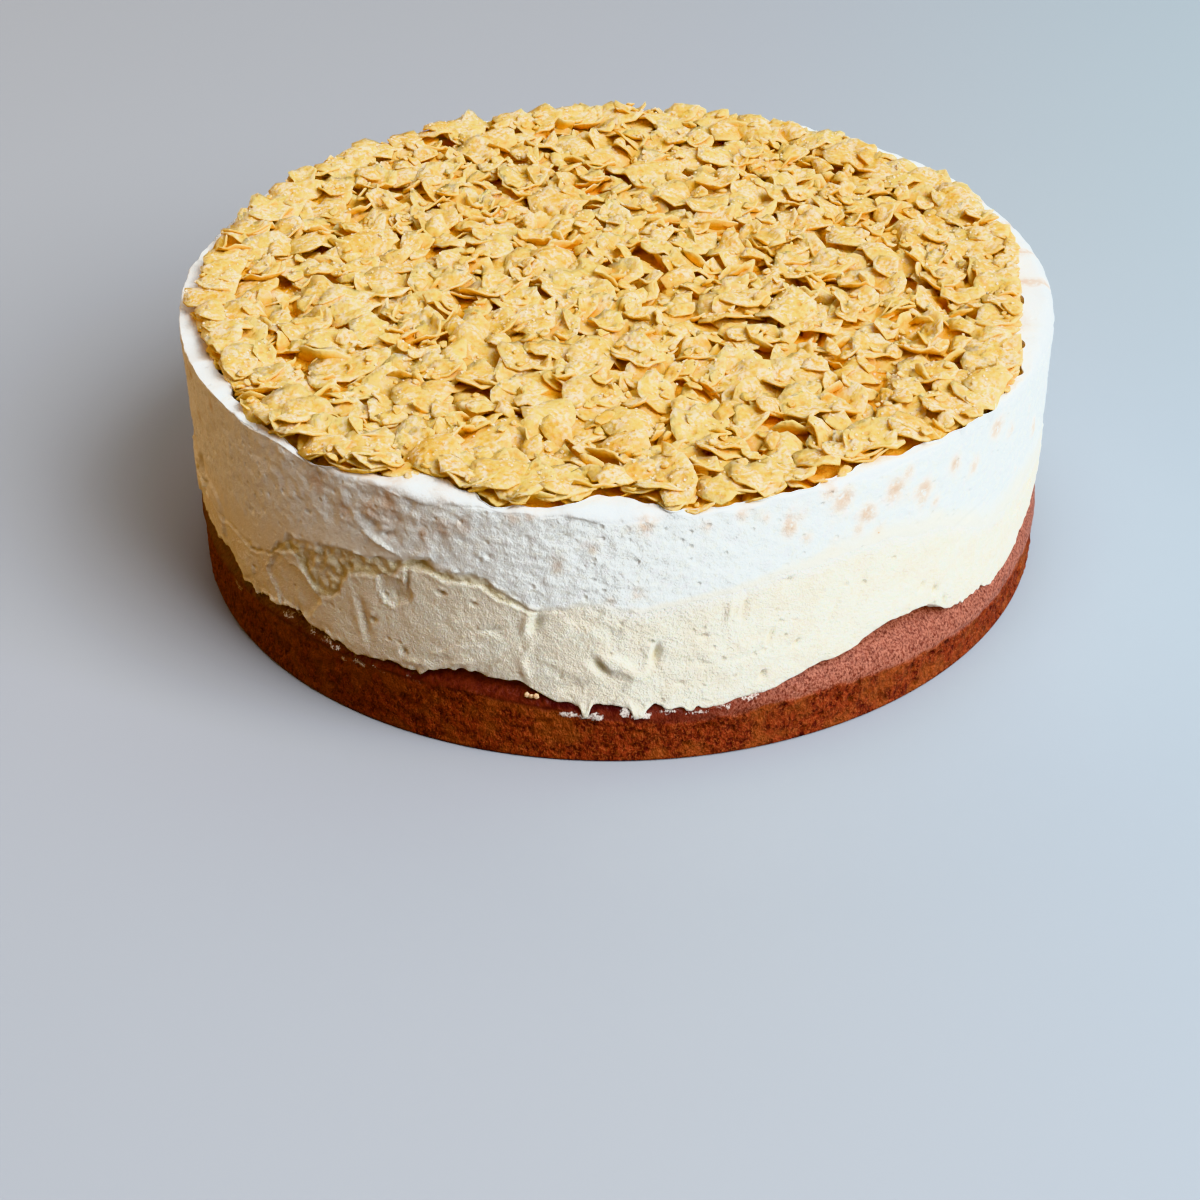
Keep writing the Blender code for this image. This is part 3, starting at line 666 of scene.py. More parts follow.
# bits of cereal in the ice cream: azimuth, height, size
frontBits = [(26, 51, 2.4), (27, 66, 3.2), (39, 60, 3.0), (32, 53, 2.4), (25, 69, 2.0), (53, 64, 2.6),
             (-12, 68, 1.6), (-10, 69, 1.4), (-23, 60, 2.4), (-7, 56, 1.4), (-3, 61, 1.4), (3, 67.5, 2.6),
             (2, 48, 1.2), (-1, 47, 1.2), (-27.5, 66, 4.4), (17, 66, 1.6), (34, 64, 3.6), (20, 62, 2.6),
             (44, 63, 2.8), (-34, 60, 2.4), (-38, 65, 2.2), (30, 60, 3.0), (10, 66, 1.5), (48, 58, 2.0),
             (36, 67, 2.2), (14, 68, 1.8), (-18, 64, 1.5), (29, 56, 2.0), (22, 58, 1.5), (41, 55, 1.8),
             (57, 60, 2.0), (-30, 63, 3.2), (-20.6, 62.4, 2.6), (88, 70, 2.4), (97, 71, 2.2),
             (106, 70.5, 1.8), (114, 71, 2.0), (125, 70.5, 1.8)]


def makeBits(draw):
    bits = list(frontBits)
    for number in range(vanillaLook["backBits"]):
        azimuth = draw.uniform(-180, 180)
        low = float(eased(layerLine, azimuth)) + 7
        if abs(azimuth) > vanillaLook["frontEnd"]:
            bits.append((azimuth, draw.uniform(low, 69), draw.uniform(0.5, 2.0)))
    return bits


cerealBits = makeBits(random.Random(vanillaLook["bitSeed"]))


def lipInsideAt(azimuth):
    spots = onCake(cakeRadius, azimuth, 0.0)
    inside = eased(lipInside, azimuth) + vanillaLook["ragged"] * roughness(spots, 6.0, 2, 61)
    return np.minimum(inside, cakeRadius - vanillaLook["lipLeast"])


def crestAt(azimuth):
    wave = vanillaLook["crestWave"] * roughness(onCake(cakeRadius, azimuth, 0.0), 9.0, 2, 67)
    return vanillaLook["crest"] + eased(crestSwell, azimuth) + wave


def vanillaMaterial():
    look = vanillaLook
    material, tree, shader = newMaterial("vanillaIceCream")
    grain = useGrain(tree, 1.3, 2.0, 0.15)
    lip, blend = attribute(tree, "lip"), attribute(tree, "blend")
    gaps = calc(tree, "MULTIPLY", ramp(tree, grain["Grain"], 0.54, 0.34),
                ramp(tree, noise(tree, 8.0), 0.3, 0.6))
    stain = calc(tree, "MULTIPLY", attribute(tree, "stain"), ramp(tree, grain["Grain"], 0.2, 0.55))
    # the beige from the hollow attribute is the torn band's own colour, and painted shade in the dents
    # the lip is painted greyer than the wall, as painted shade that evens out the stronger light on its top
    tint = coats(tree, look["white"], (gaps, 0.6, look["gapGrey"]), (grain["Pits"], 0.25, look["pitGrey"]),
                 (ramp(tree, noise(tree, 1.7), 0.5, 0.66), 0.3, look["creamySpecks"]),
                 (ramp(tree, noise(tree, 2.3), 0.52, 0.68), 0.3, look["rosySpecks"]),
                 (lip, 0.75, look["lipWhite"]), (stain, 0.85, look["stainBrown"]),
                 (blend, 1, look["coffeeBlend"]), (attribute(tree, "hollow"), 0.7, look["hollowBeige"]))
    setSurface(tree, shader, tint, 0.42, 0.4)
    softInside(shader, 0.25, 1.6, (1.0, 0.95, 0.9))
    flat = calc(tree, "MAXIMUM", lip, blend)
    strength = calc(tree, "SUBTRACT", 1.0, calc(tree, "MULTIPLY", flat, 0.4))
    bumpTo(tree, shader, calc(tree, "MULTIPLY", grain["Height"], strength), 0.55)
    return material


def makeVanilla():
    look = vanillaLook
    azimuth = evenAzimuths(look["segments"])
    line = layerLineAt(azimuth)
    inside, crest = lipInsideAt(azimuth), crestAt(azimuth)
    rounding = look["roundLeast"] + eased(look["roundShare"], azimuth) * (cakeRadius - inside)
    rings = [(crownRadius, layerMiddle + 0.35 + 0 * azimuth), (cakeRadius - 2.6, line - 0.7)]
    rings += [(cakeRadius - 0.5, line - 0.18), (cakeRadius + 0 * azimuth, line)]
    rows = int((rimHeight - line).max() / look["rowStep"])
    for share in np.linspace(0, 1, rows):
        start = line + 0.12
        rings.append((cakeRadius + 0 * azimuth, start + (crest - rounding - start) * share))
    lipStart = len(rings) - 3
    for turn in np.linspace(0, math.pi / 2, look["turnRows"])[1:]:
        rings.append((cakeRadius - rounding * (1 - math.cos(turn)), crest - rounding * (1 - math.sin(turn))))
    for share in (0.2, 0.4, 0.6, 0.8, 0.93, 1.0):
        radius = cakeRadius - rounding + (inside - cakeRadius + rounding) * share
        rings.append((radius, crest - 0.15 * share ** 2 - (0.4 if share == 1 else 0)))
    for drop in (1.2, 2.4, 4.0):
        rings.append((inside - look["draft"] * drop / 6, crest - drop))
    rings.append((inside - look["draft"], recessFloor - 0.3 + 0 * azimuth))
    points, height, around = ringPoints(rings, azimuth)
    lip = smooth(-2.6, -0.4, height - crest + 1.1 * lumps(points, 3.5, 77))
    lip[lipStart + 2:] = 1.0
    relief, hollow = wallRelief(around, height)
    wide = smooth(4, 9, cakeRadius - inside)  # where the lip is a broad rounded ledge it is smoother
    snowy = 0.22 * lumps(points, 3.2, 79) + 0.14 * (1 - 0.5 * wide) * lumps(points, 1.6, 81)
    snowy = snowy + 0.4 * lumps(points, 9, 83)
    depth = relief * (1 - lip) + (snowy - look["lipDrop"]) * lip
    fade = np.ones(points.shape[0])
    fade[[0, 1, -1]] = 0
    ways = outward(points) * (1 - lip[..., None]) + gridNormals(points) * lip[..., None]
    points = points + ways * (depth * fade[:, None])[..., None]
    keepWithin(points, cakeRadius - 0.15)
    above = height - line[None, :]
    patchy = lumps(points, 5, 87) + 0.5 * lumps(points, 2, 89)
    reach = eased(blendReach, around)
    blend = smooth(1.0, 0.15, (above + 0.16 * reach * patchy) / reach)
    blend = blend * (0.9 - 0.25 * eased(tornEdge, around))
    stain = np.zeros(height.shape)
    for spot, level, size in cerealBits:
        away = wallAway(around, spot)
        near = (away ** 2 + 0.6 * (height - level) ** 2) / (0.8 * size + 0.3) ** 2
        stain = np.maximum(stain, np.exp(-near * np.maximum(0.4, 1.1 + patchy)) * min(1, 0.3 + size / 4))
    stain = np.maximum(stain, 0.45 * icyPatch(around, height) * smooth(-0.5, 0.8, patchy))
    hollow = smooth(0.3, 1.3, hollow) * smooth(7.0, 4.0, above) * (1 - lip)
    values = {"lip": lip, "blend": blend * (1 - lip), "stain": stain, "hollow": hollow}
    return gridObject("vanillaIceCream", points, values)


dress(makeVanilla(), ["vanilla_ice_cream"], vanillaMaterial())


# shapes of flake, crumb and sugar
flakeLook = {"thickness": 0.85, "kinds": 24, "seed": 5, "length": (11.0, 20.0), "aspect": (0.66, 0.96),
             "segments": 16, "rings": (0.6, 1.0), "brokenKinds": 14, "brokenLength": (5.0, 11.0),
             "brokenSegments": 9, "brokenRings": (0.55, 1.0), "crumbKinds": 8, "crumbLength": (1.6, 3.6),
             "crumbSegments": 6, "sugarKinds": 4, "usualLength": 15, "rolled": 0.33,
             "gold": (0.74, 0.43, 0.065), "paleGold": (0.78, 0.56, 0.15), "raised": (0.81, 0.65, 0.25),
             "hollow": (0.71, 0.33, 0.033), "pits": (0.74, 0.33, 0.035), "rim": (0.84, 0.70, 0.32),
             "deep": (0.97, 0.46, 0.045), "frost": (0.87, 0.74, 0.545)}


class Flake:  # one shape of flake: its outline, its curl and its blisters
    def __init__(self, draw, length, aspect, jag):
        self.length, self.width = length, length * aspect
        share = length / flakeLook["usualLength"]
        anywhere = (0, 6.3)  # radians
        self.bend = draw.uniform(-0.8, 2.6) * share
        self.cross = draw.uniform(-0.4, 2.4) * share
        if draw.random() < flakeLook["rolled"]:  # some are rolled up along their length
            self.cross = draw.uniform(2.6, 4.2) * share
        self.twist = draw.uniform(-1.2, 1.2) * share
        self.curl = (draw.uniform(-1.5, 5.0) * share, draw.uniform(*anywhere))  # one side is turned up
        self.jags = [(draw.uniform(0.3, 1.0) * jag * (1 - 0.07 * k), draw.uniform(*anywhere), k)
                     for k in (2, 3, 5, 6, 7)]
        self.crinkle = [(draw.uniform(0.15, 0.55) * share, draw.uniform(*anywhere), k) for k in (2, 3, 5, 6)]
        self.blisters = [(draw.uniform(-0.7, 0.7), draw.uniform(-0.7, 0.7), draw.uniform(1.4, 2.6),
                          draw.uniform(-0.5, 1.0)) for n in range(3)]

    def surface(self, share, turn):  # point on the middle sheet, share 0 at the middle and 1 at the rim
        edge = share * (0.88 + sum(size * np.sin(k * turn + start) for size, start, k in self.jags))
        x, y = edge * np.cos(turn), edge * np.sin(turn)
        z = self.bend * x * x + self.cross * y * y + self.twist * x * y
        z = z + share ** 2 * sum(size * np.sin(k * turn + start) for size, start, k in self.crinkle)
        z = z + self.curl[0] * np.maximum(0, share * np.cos(turn - self.curl[1]) - 0.35) ** 2
        x, y = x * self.length / 2, y * self.width / 2
        for bx, by, size, rise in self.blisters:
            bx, by = bx * self.length / 2, by * self.width / 2
            z = z + rise * np.exp(-((x - bx) ** 2 + (y - by) ** 2) / size ** 2) * min(1, self.length / 10)
        return np.stack([x, y, z], axis=-1)

    def build(self, name, count, rings, half):  # two skins that meet in a thin rim
        turns = 2 * np.pi * np.arange(count) / count
        sheets = []
        for side in (1, -1):
            rows = [self.surface(np.zeros(1), np.zeros(1)) + [0, 0, side * half]]
            for share in rings:
                thin = 0.6 if share == 1 else 1.0
                rows.append(self.surface(share * np.ones(count), turns) + [0, 0, side * half * thin])
            sheets.append(np.vstack(rows))
        size = len(sheets[0])
        faces = []
        for n in range(count):
            after = (n + 1) % count
            faces += [(0, 1 + n, 1 + after), (size, size + 1 + after, size + 1 + n)]
            for ring in range(len(rings) - 1):
                a, b = 1 + ring * count + n, 1 + ring * count + after
                faces.append((a, a + count, b + count, b))
                faces.append((size + a, size + b, size + b + count, size + a + count))
            c, d = size - count + n, size - count + after
            faces.append((c, size + c, size + d, d))
        mesh = bpy.data.meshes.new(name)
        mesh.from_pydata((np.vstack(sheets) * mm).tolist(), [], faces)
        rim = np.concatenate([[0.0], np.repeat([share ** 3 for share in rings], count)])
        setAttribute(mesh, "rim", np.tile(rim, 2))
        mesh.shade_smooth()
        return bpy.data.objects.new(name, mesh)

    def samples(self):  # points all over the sheet, for resting it on what lies below
        shares, turns = np.meshgrid(np.sqrt(np.linspace(0.02, 1, 9)), np.linspace(0, 2 * np.pi, 31)[:-1])
        return self.surface(shares.ravel(), turns.ravel())


def makeKinds(draw, count, length, aspect, jag):
    return [Flake(draw, draw.uniform(*length), draw.uniform(*aspect), jag) for n in range(count)]


def buildKinds(name, kinds, segments, rings):
    half = flakeLook["thickness"] / 2
    return [kind.build(f"{name}{n:02d}", segments, rings, half) for n, kind in enumerate(kinds)]


def grainShape(name, draw, size):  # a sugar crystal: a small block with uneven corners
    corners = [(x, y, z) for x in (-1, 1) for y in (-1, 1) for z in (-1, 1)]
    spots = [tuple(c * size / 2 * draw.uniform(0.6, 1.2) * mm for c in corner) for corner in corners]
    faces = [(0, 1, 3, 2), (4, 6, 7, 5), (0, 4, 5, 1), (2, 3, 7, 6), (0, 2, 6, 4), (1, 5, 7, 3)]
    mesh = bpy.data.meshes.new(name)
    mesh.from_pydata(spots, [], faces)
    return bpy.data.objects.new(name, mesh)


# the heap: flakes are dropped one by one on a map of heights
# rest and buried are shares of a flake's points, for a flat flake and a steep one
heapLook = {"cell": 0.7, "bedHeight": 69.2, "bedWave": 0.8, "whole": 720, "broken": 1000, "ring": 90,
            "tries": 5, "lean": 14.0, "steepShare": 0.25, "steep": (30, 75), "sink": 0.4, "toEdge": 8.0,
            "seed": 8, "crumbs": 400, "sugar": 3200, "size": (0.9, 1.06), "flipped": 0.35, "empty": 60.0,
            "lowest": 66.0, "overLip": 1.4, "rest": (0.84, 0.5), "buried": (0.4, 0.55), "bedSegments": 240,
            "bedRows": 44, "bedAmber": (0.80, 0.30, 0.02), "bedGold": (0.92, 0.50, 0.07),
            "sugarAmber": (0.90, 0.68, 0.36), "sugarPale": (0.93, 0.83, 0.68)}


def bedHeight(x, y):
    spots = np.stack(np.broadcast_arrays(x, y, 0.0), axis=-1)
    return heapLook["bedHeight"] + heapLook["bedWave"] * roughness(spots, 9.0, 3, 93)


class Heap:  # a map of heights over the cake's top
    def __init__(self):
        self.cell = heapLook["cell"]
        self.side = int(2 * (cakeRadius + 4) / self.cell)
        axis = (np.arange(self.side) - self.side / 2) * self.cell
        x, y = np.meshgrid(axis, axis, indexing="ij")
        radius, azimuth = np.hypot(x, y), np.degrees(np.arctan2(x, -y))
        inside = radius < lipInsideAt(azimuth)
        self.map = np.where(inside, bedHeight(x, y), crestAt(azimuth) - vanillaLook["lipDrop"])
        self.lip = np.where(inside, heapLook["empty"], self.map - heapLook["overLip"])  # no flake goes lower
        self.map[radius > cakeRadius - 1.2] = heapLook["empty"]

    def spots(self, x, y):
        i = np.clip((x / self.cell + self.side / 2).astype(int), 0, self.side - 1)
        j = np.clip((y / self.cell + self.side / 2).astype(int), 0, self.side - 1)
        return i, j

    def heights(self, x, y):
        return self.map[self.spots(x, y)]

    def raiseTo(self, x, y, z):
        np.maximum.at(self.map, self.spots(x, y), z)

    def depthOf(self, spots):  # how far points lie below the heap's evened-out top
        level = np.clip(self.map, 68, None)
        for step in (1, 2, 2, 3):
            for axis in (0, 1):
                level = (np.roll(level, step, axis) + level + np.roll(level, -step, axis)) / 3
        return level[self.spots(spots[:, 0], spots[:, 1])] - spots[:, 2]


def facing(way, spin):  # matrix that turns a shape's top towards a way, spun about it
    return way.to_track_quat("Z", "Y").to_matrix() @ Matrix.Rotation(spin, 3, "Z")


# matrix of a flake that follows two slopes and leans on top
def sheetTurn(slopeX, slopeY, spin, lean, way, flip):
    turned = facing(Vector((-slopeX, -slopeY, 1)).normalized(), spin)
    turned = turned @ Euler((lean * math.cos(way), lean * math.sin(way), 0)).to_matrix()
    return turned @ Matrix.Rotation(math.pi if flip else 0.0, 3, "X")


def dropFlakes(heap, kinds, count, draw, leanShare, ring=0):  # one by one, the ring first, round the edge
    look = heapLook
    samples = [kind.samples() for kind in kinds]
    half = flakeLook["thickness"] / 2
    placed = []
    for number in range(count):
        kind = draw.randrange(len(kinds))
        shape = samples[kind]
        best = None
        for attempt in range(look["tries"]):  # the lowest of a few places
            radius, azimuth = (cakeRadius - 4) * math.sqrt(draw.random()), draw.uniform(-180, 180)
            if number < ring:
                azimuth = 360 * (number + draw.uniform(-0.4, 0.4)) / ring - 180
                radius = float(eased(flakeEdge, azimuth)) - 0.4 * kinds[kind].length
            x, y = spotAt(radius, azimuth)
            under = heap.heights(x + shape[::3, 0] * 0.8, y + shape[::3, 1] * 0.8)
            level = np.maximum(under, look["lowest"]).mean() + 0.35 * under.std() + draw.uniform(0, 0.5)
            if best is None or level < best[0]:
                best = (level, x, y)
        x, y = best[1:]
        spin, way = draw.uniform(0, fullTurn), draw.uniform(0, fullTurn)
        flip = draw.random() < look["flipped"]
        c, s = math.cos(spin), math.sin(spin)
        px, py = c * shape[:, 0] - s * shape[:, 1], s * shape[:, 0] + c * shape[:, 1]
        under = np.maximum(heap.heights(x + px, y + py), look["lowest"])
        fit = np.linalg.lstsq(np.stack([px, py, np.ones_like(px)], axis=1), under, rcond=None)[0]
        slopes = np.clip(fit[:2] * 0.8, -0.5, 0.5)
        steep = number >= ring and draw.random() < look["steepShare"]
        lean = draw.uniform(*look["steep"]) if steep else abs(draw.gauss(0, 1)) * look["lean"] * leanShare
        matrix = sheetTurn(slopes[0], slopes[1], spin, math.radians(lean), way, flip)
        size = draw.uniform(*look["size"])
        turned = shape @ np.array(matrix).T * size
        around = np.degrees(np.arctan2(x + turned[:, 0], -(y + turned[:, 1])))
        excess = (np.hypot(x + turned[:, 0], y + turned[:, 1]) - eased(flakeEdge, around)).max()
        # it lies near the heap's edge, so it goes right out to it
        if excess > 0 or number < ring or (excess > -look["toEdge"] and draw.random() < 0.8):
            inward = 1 - excess / math.hypot(x, y)
            x, y = x * inward, y * inward
        under = heap.heights(x + turned[:, 0], y + turned[:, 1])
        z = np.quantile(under - (turned[:, 2] - half), look["rest"][steep]) - look["sink"]
        z = min(z, flakeCeiling - (turned[:, 2].max() + half))
        if np.mean(under > z + turned[:, 2] + half) > look["buried"][steep]:
            continue  # it would lie inside the others
        if np.any(heap.lip[heap.spots(x + turned[:, 0], y + turned[:, 1])] > z + turned[:, 2]):
            continue  # it would come out through the wall
        heap.raiseTo(x + turned[:, 0], y + turned[:, 1], z + turned[:, 2] + half)
        placed.append(((x, y, z), tuple(matrix.to_euler()), size, kind, draw.random()))
    return placed


def pointCloud(name, placed):  # a mesh of loose points with what the scatter needs
    mesh = bpy.data.meshes.new(name)
    mesh.from_pydata([Vector(p[0]) * mm for p in placed], [], [])
    setAttribute(mesh, "turn", [angle for p in placed for angle in p[1]], "FLOAT_VECTOR")
    setAttribute(mesh, "size", [p[2] for p in placed])
    setAttribute(mesh, "kind", [p[3] for p in placed], "INT")
    setAttribute(mesh, "tone", [p[4] for p in placed])
    return newObject(name, mesh)


def scatterTree():  # sets one of a collection's shapes on each point, with its own turn and size
    tree = bpy.data.node_groups.new("scatterShapes", "GeometryNodeTree")
    face = tree.interface
    face.new_socket("Geometry", in_out="INPUT", socket_type="NodeSocketGeometry")
    face.new_socket("Shapes", in_out="INPUT", socket_type="NodeSocketCollection")
    face.new_socket("Size", in_out="INPUT", socket_type="NodeSocketFloat").default_value = 1.0
    face.new_socket("Material", in_out="INPUT", socket_type="NodeSocketMaterial")
    face.new_socket("Geometry", in_out="OUTPUT", socket_type="NodeSocketGeometry")
    start, end = tree.nodes.new("NodeGroupInput"), tree.nodes.new("NodeGroupOutput")

    def named(kind, name):
        made = addNode(tree, "GeometryNodeInputNamedAttribute", {"data_type": kind}, Name=name)
        return made.outputs["Attribute"]

    shapes = addNode(tree, "GeometryNodeCollectionInfo", {"transform_space": "ORIGINAL"},
                     Collection=start.outputs["Shapes"], Separate_Children=True, Reset_Children=True)
    turn = addNode(tree, "FunctionNodeEulerToRotation", n0=named("FLOAT_VECTOR", "turn"))
    size = calc(tree, "MULTIPLY", named("FLOAT", "size"), start.outputs["Size"])
    setOut = addNode(tree, "GeometryNodeInstanceOnPoints", Points=start.outputs["Geometry"],
                     Instance=shapes.outputs[0], Pick_Instance=True, Instance_Index=named("INT", "kind"),
                     Rotation=turn.outputs[0], Scale=size)
    real = addNode(tree, "GeometryNodeRealizeInstances", Geometry=setOut.outputs[0])
    painted = addNode(tree, "GeometryNodeSetMaterial", Geometry=real.outputs[0],
                      Material=start.outputs["Material"])
    tree.links.new(painted.outputs[0], end.inputs[0])
    return tree


scatter = scatterTree()


def scatterPiece(name, placed, shapes, material, heap=None):  # runs the tree and keeps the plain mesh
    made = pointCloud(name, placed)
    collection = bpy.data.collections.new(name + "Shapes")
    for item in shapes:
        collection.objects.link(item)
    modifier = made.modifiers.new("scatter", "NODES")
    modifier.node_group = scatter
    values = {"Shapes": collection, "Size": 1.0, "Material": material}
    for item in scatter.interface.items_tree:  # by the socket's identifier
        if item.in_out == "INPUT" and item.name in values:
            modifier[item.identifier] = values[item.name]
    evaluated = made.evaluated_get(bpy.context.evaluated_depsgraph_get())
    mesh = bpy.data.meshes.new_from_object(evaluated)
    made.modifiers.clear()
    made.data = mesh
    if heap:  # painted shade: what lies deep in the heap or faces down is painted darker and more orange, as shade warmed by light bounced between flakes
        spots = np.empty(3 * len(mesh.vertices), np.float32)
        normals = np.empty_like(spots)
        mesh.vertices.foreach_get("co", spots)
        mesh.vertex_normals.foreach_get("vector", normals)
        depth, up = heap.depthOf(spots.reshape(-1, 3) / mm), normals.reshape(-1, 3)[:, 2]
        deep = np.maximum(smooth(0.2, 3.4, depth), 0.7 * smooth(0.25, -0.3, up))
        sugared = smooth(2.0, -0.2, depth) * smooth(0.2, 0.75, up)
        setAttribute(mesh, "deep", deep)
        setAttribute(mesh, "sugared", sugared)
    dress(made, [], material)
    return made


def flakeMaterial():
    look = flakeLook
    material, tree, shader = newMaterial("cornFlake")
    grain = useGrain(tree, 1.5, 2.4, 0.4)
    patches = calc(tree, "MULTIPLY_ADD", ramp(tree, noise(tree, 4.5), 0.42, 0.58), 0.75, 0.15)
    frost = calc(tree, "MULTIPLY", ramp(tree, noise(tree, 1.1), 0.38, 0.6), patches)
    frost = calc(tree, "MULTIPLY", frost, attribute(tree, "sugared"))
    # painted light in the grain: raised grain is painted paler as a highlight, its hollows and pits amber as
    # shade
    # the deep colour is painted shade: strong orange where flakes lie deep or face down
    tint = coats(tree, look["gold"], (attribute(tree, "tone"), 1, look["paleGold"]),
                 (ramp(tree, grain["Grain"], 0.42, 0.66), 0.5, look["raised"]),
                 (ramp(tree, grain["Grain"], 0.48, 0.3), 0.65, look["hollow"]),
                 (grain["Pits"], 0.6, look["pits"]),
                 (ramp(tree, attribute(tree, "rim"), 0.4, 0.95), 0.5, look["rim"]),
                 (attribute(tree, "deep"), 0.95, look["deep"]), (frost, 1, look["frost"]))
    setSurface(tree, shader, tint, 0.7, 0.04)
    softInside(shader, 0.25, 0.5, (1.0, 0.8, 0.6))
    height = calc(tree, "MULTIPLY_ADD", noise(tree, 2.6, 1.0), 1.4, grain["Height"])  # blisters and grain
    bumpTo(tree, shader, height, 0.45)
    return material


def sugarMaterial():
    material, tree, shader = newMaterial("sugar")
    tint = mixColour(tree, attribute(tree, "tone"), heapLook["sugarAmber"], heapLook["sugarPale"])
    setSurface(tree, shader, tint, 0.5, 0.15)
    softInside(shader, 0.6, 0.4, (1.0, 0.9, 0.7))
    return material


def bedMaterial():
    material, tree, shader = newMaterial("flakeBed")
    grain = useGrain(tree, 2.0, 3.0, 0.4)
    # painted shade: the core is a stronger amber than the flakes, for the warm shade in the gaps where it
    # shows
    tint = mixColour(tree, ramp(tree, grain["Grain"], 0.3, 0.7), heapLook["bedAmber"], heapLook["bedGold"])
    setSurface(tree, shader, tint, 0.7)
    bumpTo(tree, shader, grain["Height"], 1.2)
    return material


def makeBed():  # the part of the heap that hardly shows: a lumpy core in the recess
    azimuth = evenAzimuths(heapLook["bedSegments"])
    inside = lipInsideAt(azimuth) - vanillaLook["draft"] - 0.2
    rings = [(inside, recessFloor + 0 * azimuth)]
    for share in np.linspace(1.0, 0.02, heapLook["bedRows"]):
        spots = onCake(inside * share, azimuth, 0.0)
        rings.append((inside * share, bedHeight(spots[:, 0], spots[:, 1]) - (0.4 if share == 1 else 0)))
    return gridObject("flakeBed", ringPoints(rings, azimuth)[0], {})


# small things where a line from above meets the heap
def chipsOn(draw, tree, count, kinds, size, inset, lift, room):
    placed = []
    while len(placed) < count:
        radius, azimuth = cakeRadius * math.sqrt(draw.random()), draw.uniform(-180, 180)
        if radius > eased(flakeEdge, azimuth) - inset:
            continue
        x, y = spotAt(radius, azimuth)
        crowd = float(lumps(np.array([x, y, 0.0]), 8.0, 95))
        if draw.random() > 0.12 + smooth(-0.05, 0.4, crowd):
            continue
        place, normal = tree.ray_cast(Vector((x, y, 90)) * mm, Vector((0, 0, -1)))[:2]
        # too high or too steep
        if place is None or place.z / mm > flakeCeiling - room or abs(normal.z) < 0.55:
            continue
        normal = normal if normal.z > 0 else -normal
        turned = facing(normal, draw.uniform(0, fullTurn))
        spot = tuple(place / mm + normal * lift)
        placed.append((spot, tuple(turned.to_euler()), draw.uniform(*size), draw.randrange(kinds),
                       draw.random()))
    return placed


shapeDraw = random.Random(flakeLook["seed"])
wholeKinds = makeKinds(shapeDraw, flakeLook["kinds"], flakeLook["length"], flakeLook["aspect"], 0.08)
brokenKinds = makeKinds(shapeDraw, flakeLook["brokenKinds"], flakeLook["brokenLength"], (0.5, 0.9), 0.12)
crumbKinds = makeKinds(shapeDraw, flakeLook["crumbKinds"], flakeLook["crumbLength"], (0.6, 1.0), 0.14)
wholeShapes = buildKinds("whole", wholeKinds, flakeLook["segments"], flakeLook["rings"])
brokenShapes = buildKinds("broken", brokenKinds, flakeLook["brokenSegments"], flakeLook["brokenRings"])
crumbShapes = buildKinds("crumb", crumbKinds, flakeLook["crumbSegments"], flakeLook["rings"])
sugarShapes = [grainShape(f"sugar{n}", shapeDraw, 1.0) for n in range(flakeLook["sugarKinds"])]

heap = Heap()
draw = random.Random(heapLook["seed"])
lower = dropFlakes(heap, wholeKinds, heapLook["whole"] // 2, draw, leanShare=1.0)
filler = dropFlakes(heap, brokenKinds, heapLook["broken"] // 2, draw, leanShare=1.3)
upper = dropFlakes(heap, wholeKinds, heapLook["whole"] - heapLook["whole"] // 2, draw, leanShare=1.0)
ledge = dropFlakes(heap, wholeKinds, heapLook["ring"], draw, leanShare=0.6, ring=heapLook["ring"])
loose = dropFlakes(heap, brokenKinds, heapLook["broken"] - heapLook["broken"] // 2, draw, leanShare=1.2)
levels = heap.map[heap.map > heapLook["lowest"]]
print("heap:", len(lower + upper + ledge), "whole,", len(filler + loose), "broken, levels",
      np.quantile(levels, (0.05, 0.5, 0.95)).round(1))

cornFlake = flakeMaterial()
sugar = sugarMaterial()
dress(makeBed(), ["corn_flake_topping"], bedMaterial())
flakes = scatterPiece("cornFlakes", lower + upper + ledge, wholeShapes, cornFlake, heap)
pieces = scatterPiece("brokenFlakes", filler + loose, brokenShapes, cornFlake, heap)
corners = [v.co for item in (flakes, pieces) for v in item.data.vertices]
start = len(flakes.data.vertices)
polygons = [tuple(p.vertices) for p in flakes.data.polygons]
polygons += [tuple(v + start for v in p.vertices) for p in pieces.data.polygons]
topFinder = BVHTree.FromPolygons(corners, polygons)
crumbs = chipsOn(draw, topFinder, heapLook["crumbs"], len(crumbShapes), (0.7, 1.1), inset=1.5, lift=0.3,
                 room=2.2)
grains = chipsOn(draw, topFinder, heapLook["sugar"], len(sugarShapes), (0.3, 0.6), inset=0.5, lift=0.0,
                 room=0.6)
scatterPiece("flakeCrumbs", crumbs, crumbShapes, cornFlake, heap)
scatterPiece("sugarCrystals", grains, sugarShapes, sugar)

# bits of cereal in the wall, half sunk in the ice cream, and one crumb that stuck to the sponge
bitsLook = {"topMost": 69.5, "onlyStains": 0.5, "sink": 0.3, "kindSize": 2.6, "scale": 0.42, "lean": 0.3,
            "stuckAt": (-10.7, 18.4), "stuckScale": 0.8,
            "brown": (0.56, 0.33, 0.22), "pale": (0.80, 0.64, 0.50), "gold": (0.80, 0.50, 0.22)}


def soakedMaterial():  # cereal that went soft in the ice cream
    look = bitsLook
    material, tree, shader = newMaterial("soakedCereal")
    grain = useGrain(tree, 0.9, 1.5, 0.2)
    tint = coats(tree, look["brown"], (ramp(tree, grain["Grain"], 0.3, 0.7), 1, look["pale"]),
                 (attribute(tree, "tone"), 0.5, look["gold"]))
    setSurface(tree, shader, tint, 0.5)
    softInside(shader, 0.4, 1.0, (1.0, 0.8, 0.6))
    bumpTo(tree, shader, grain["Height"], 0.3)
    return material


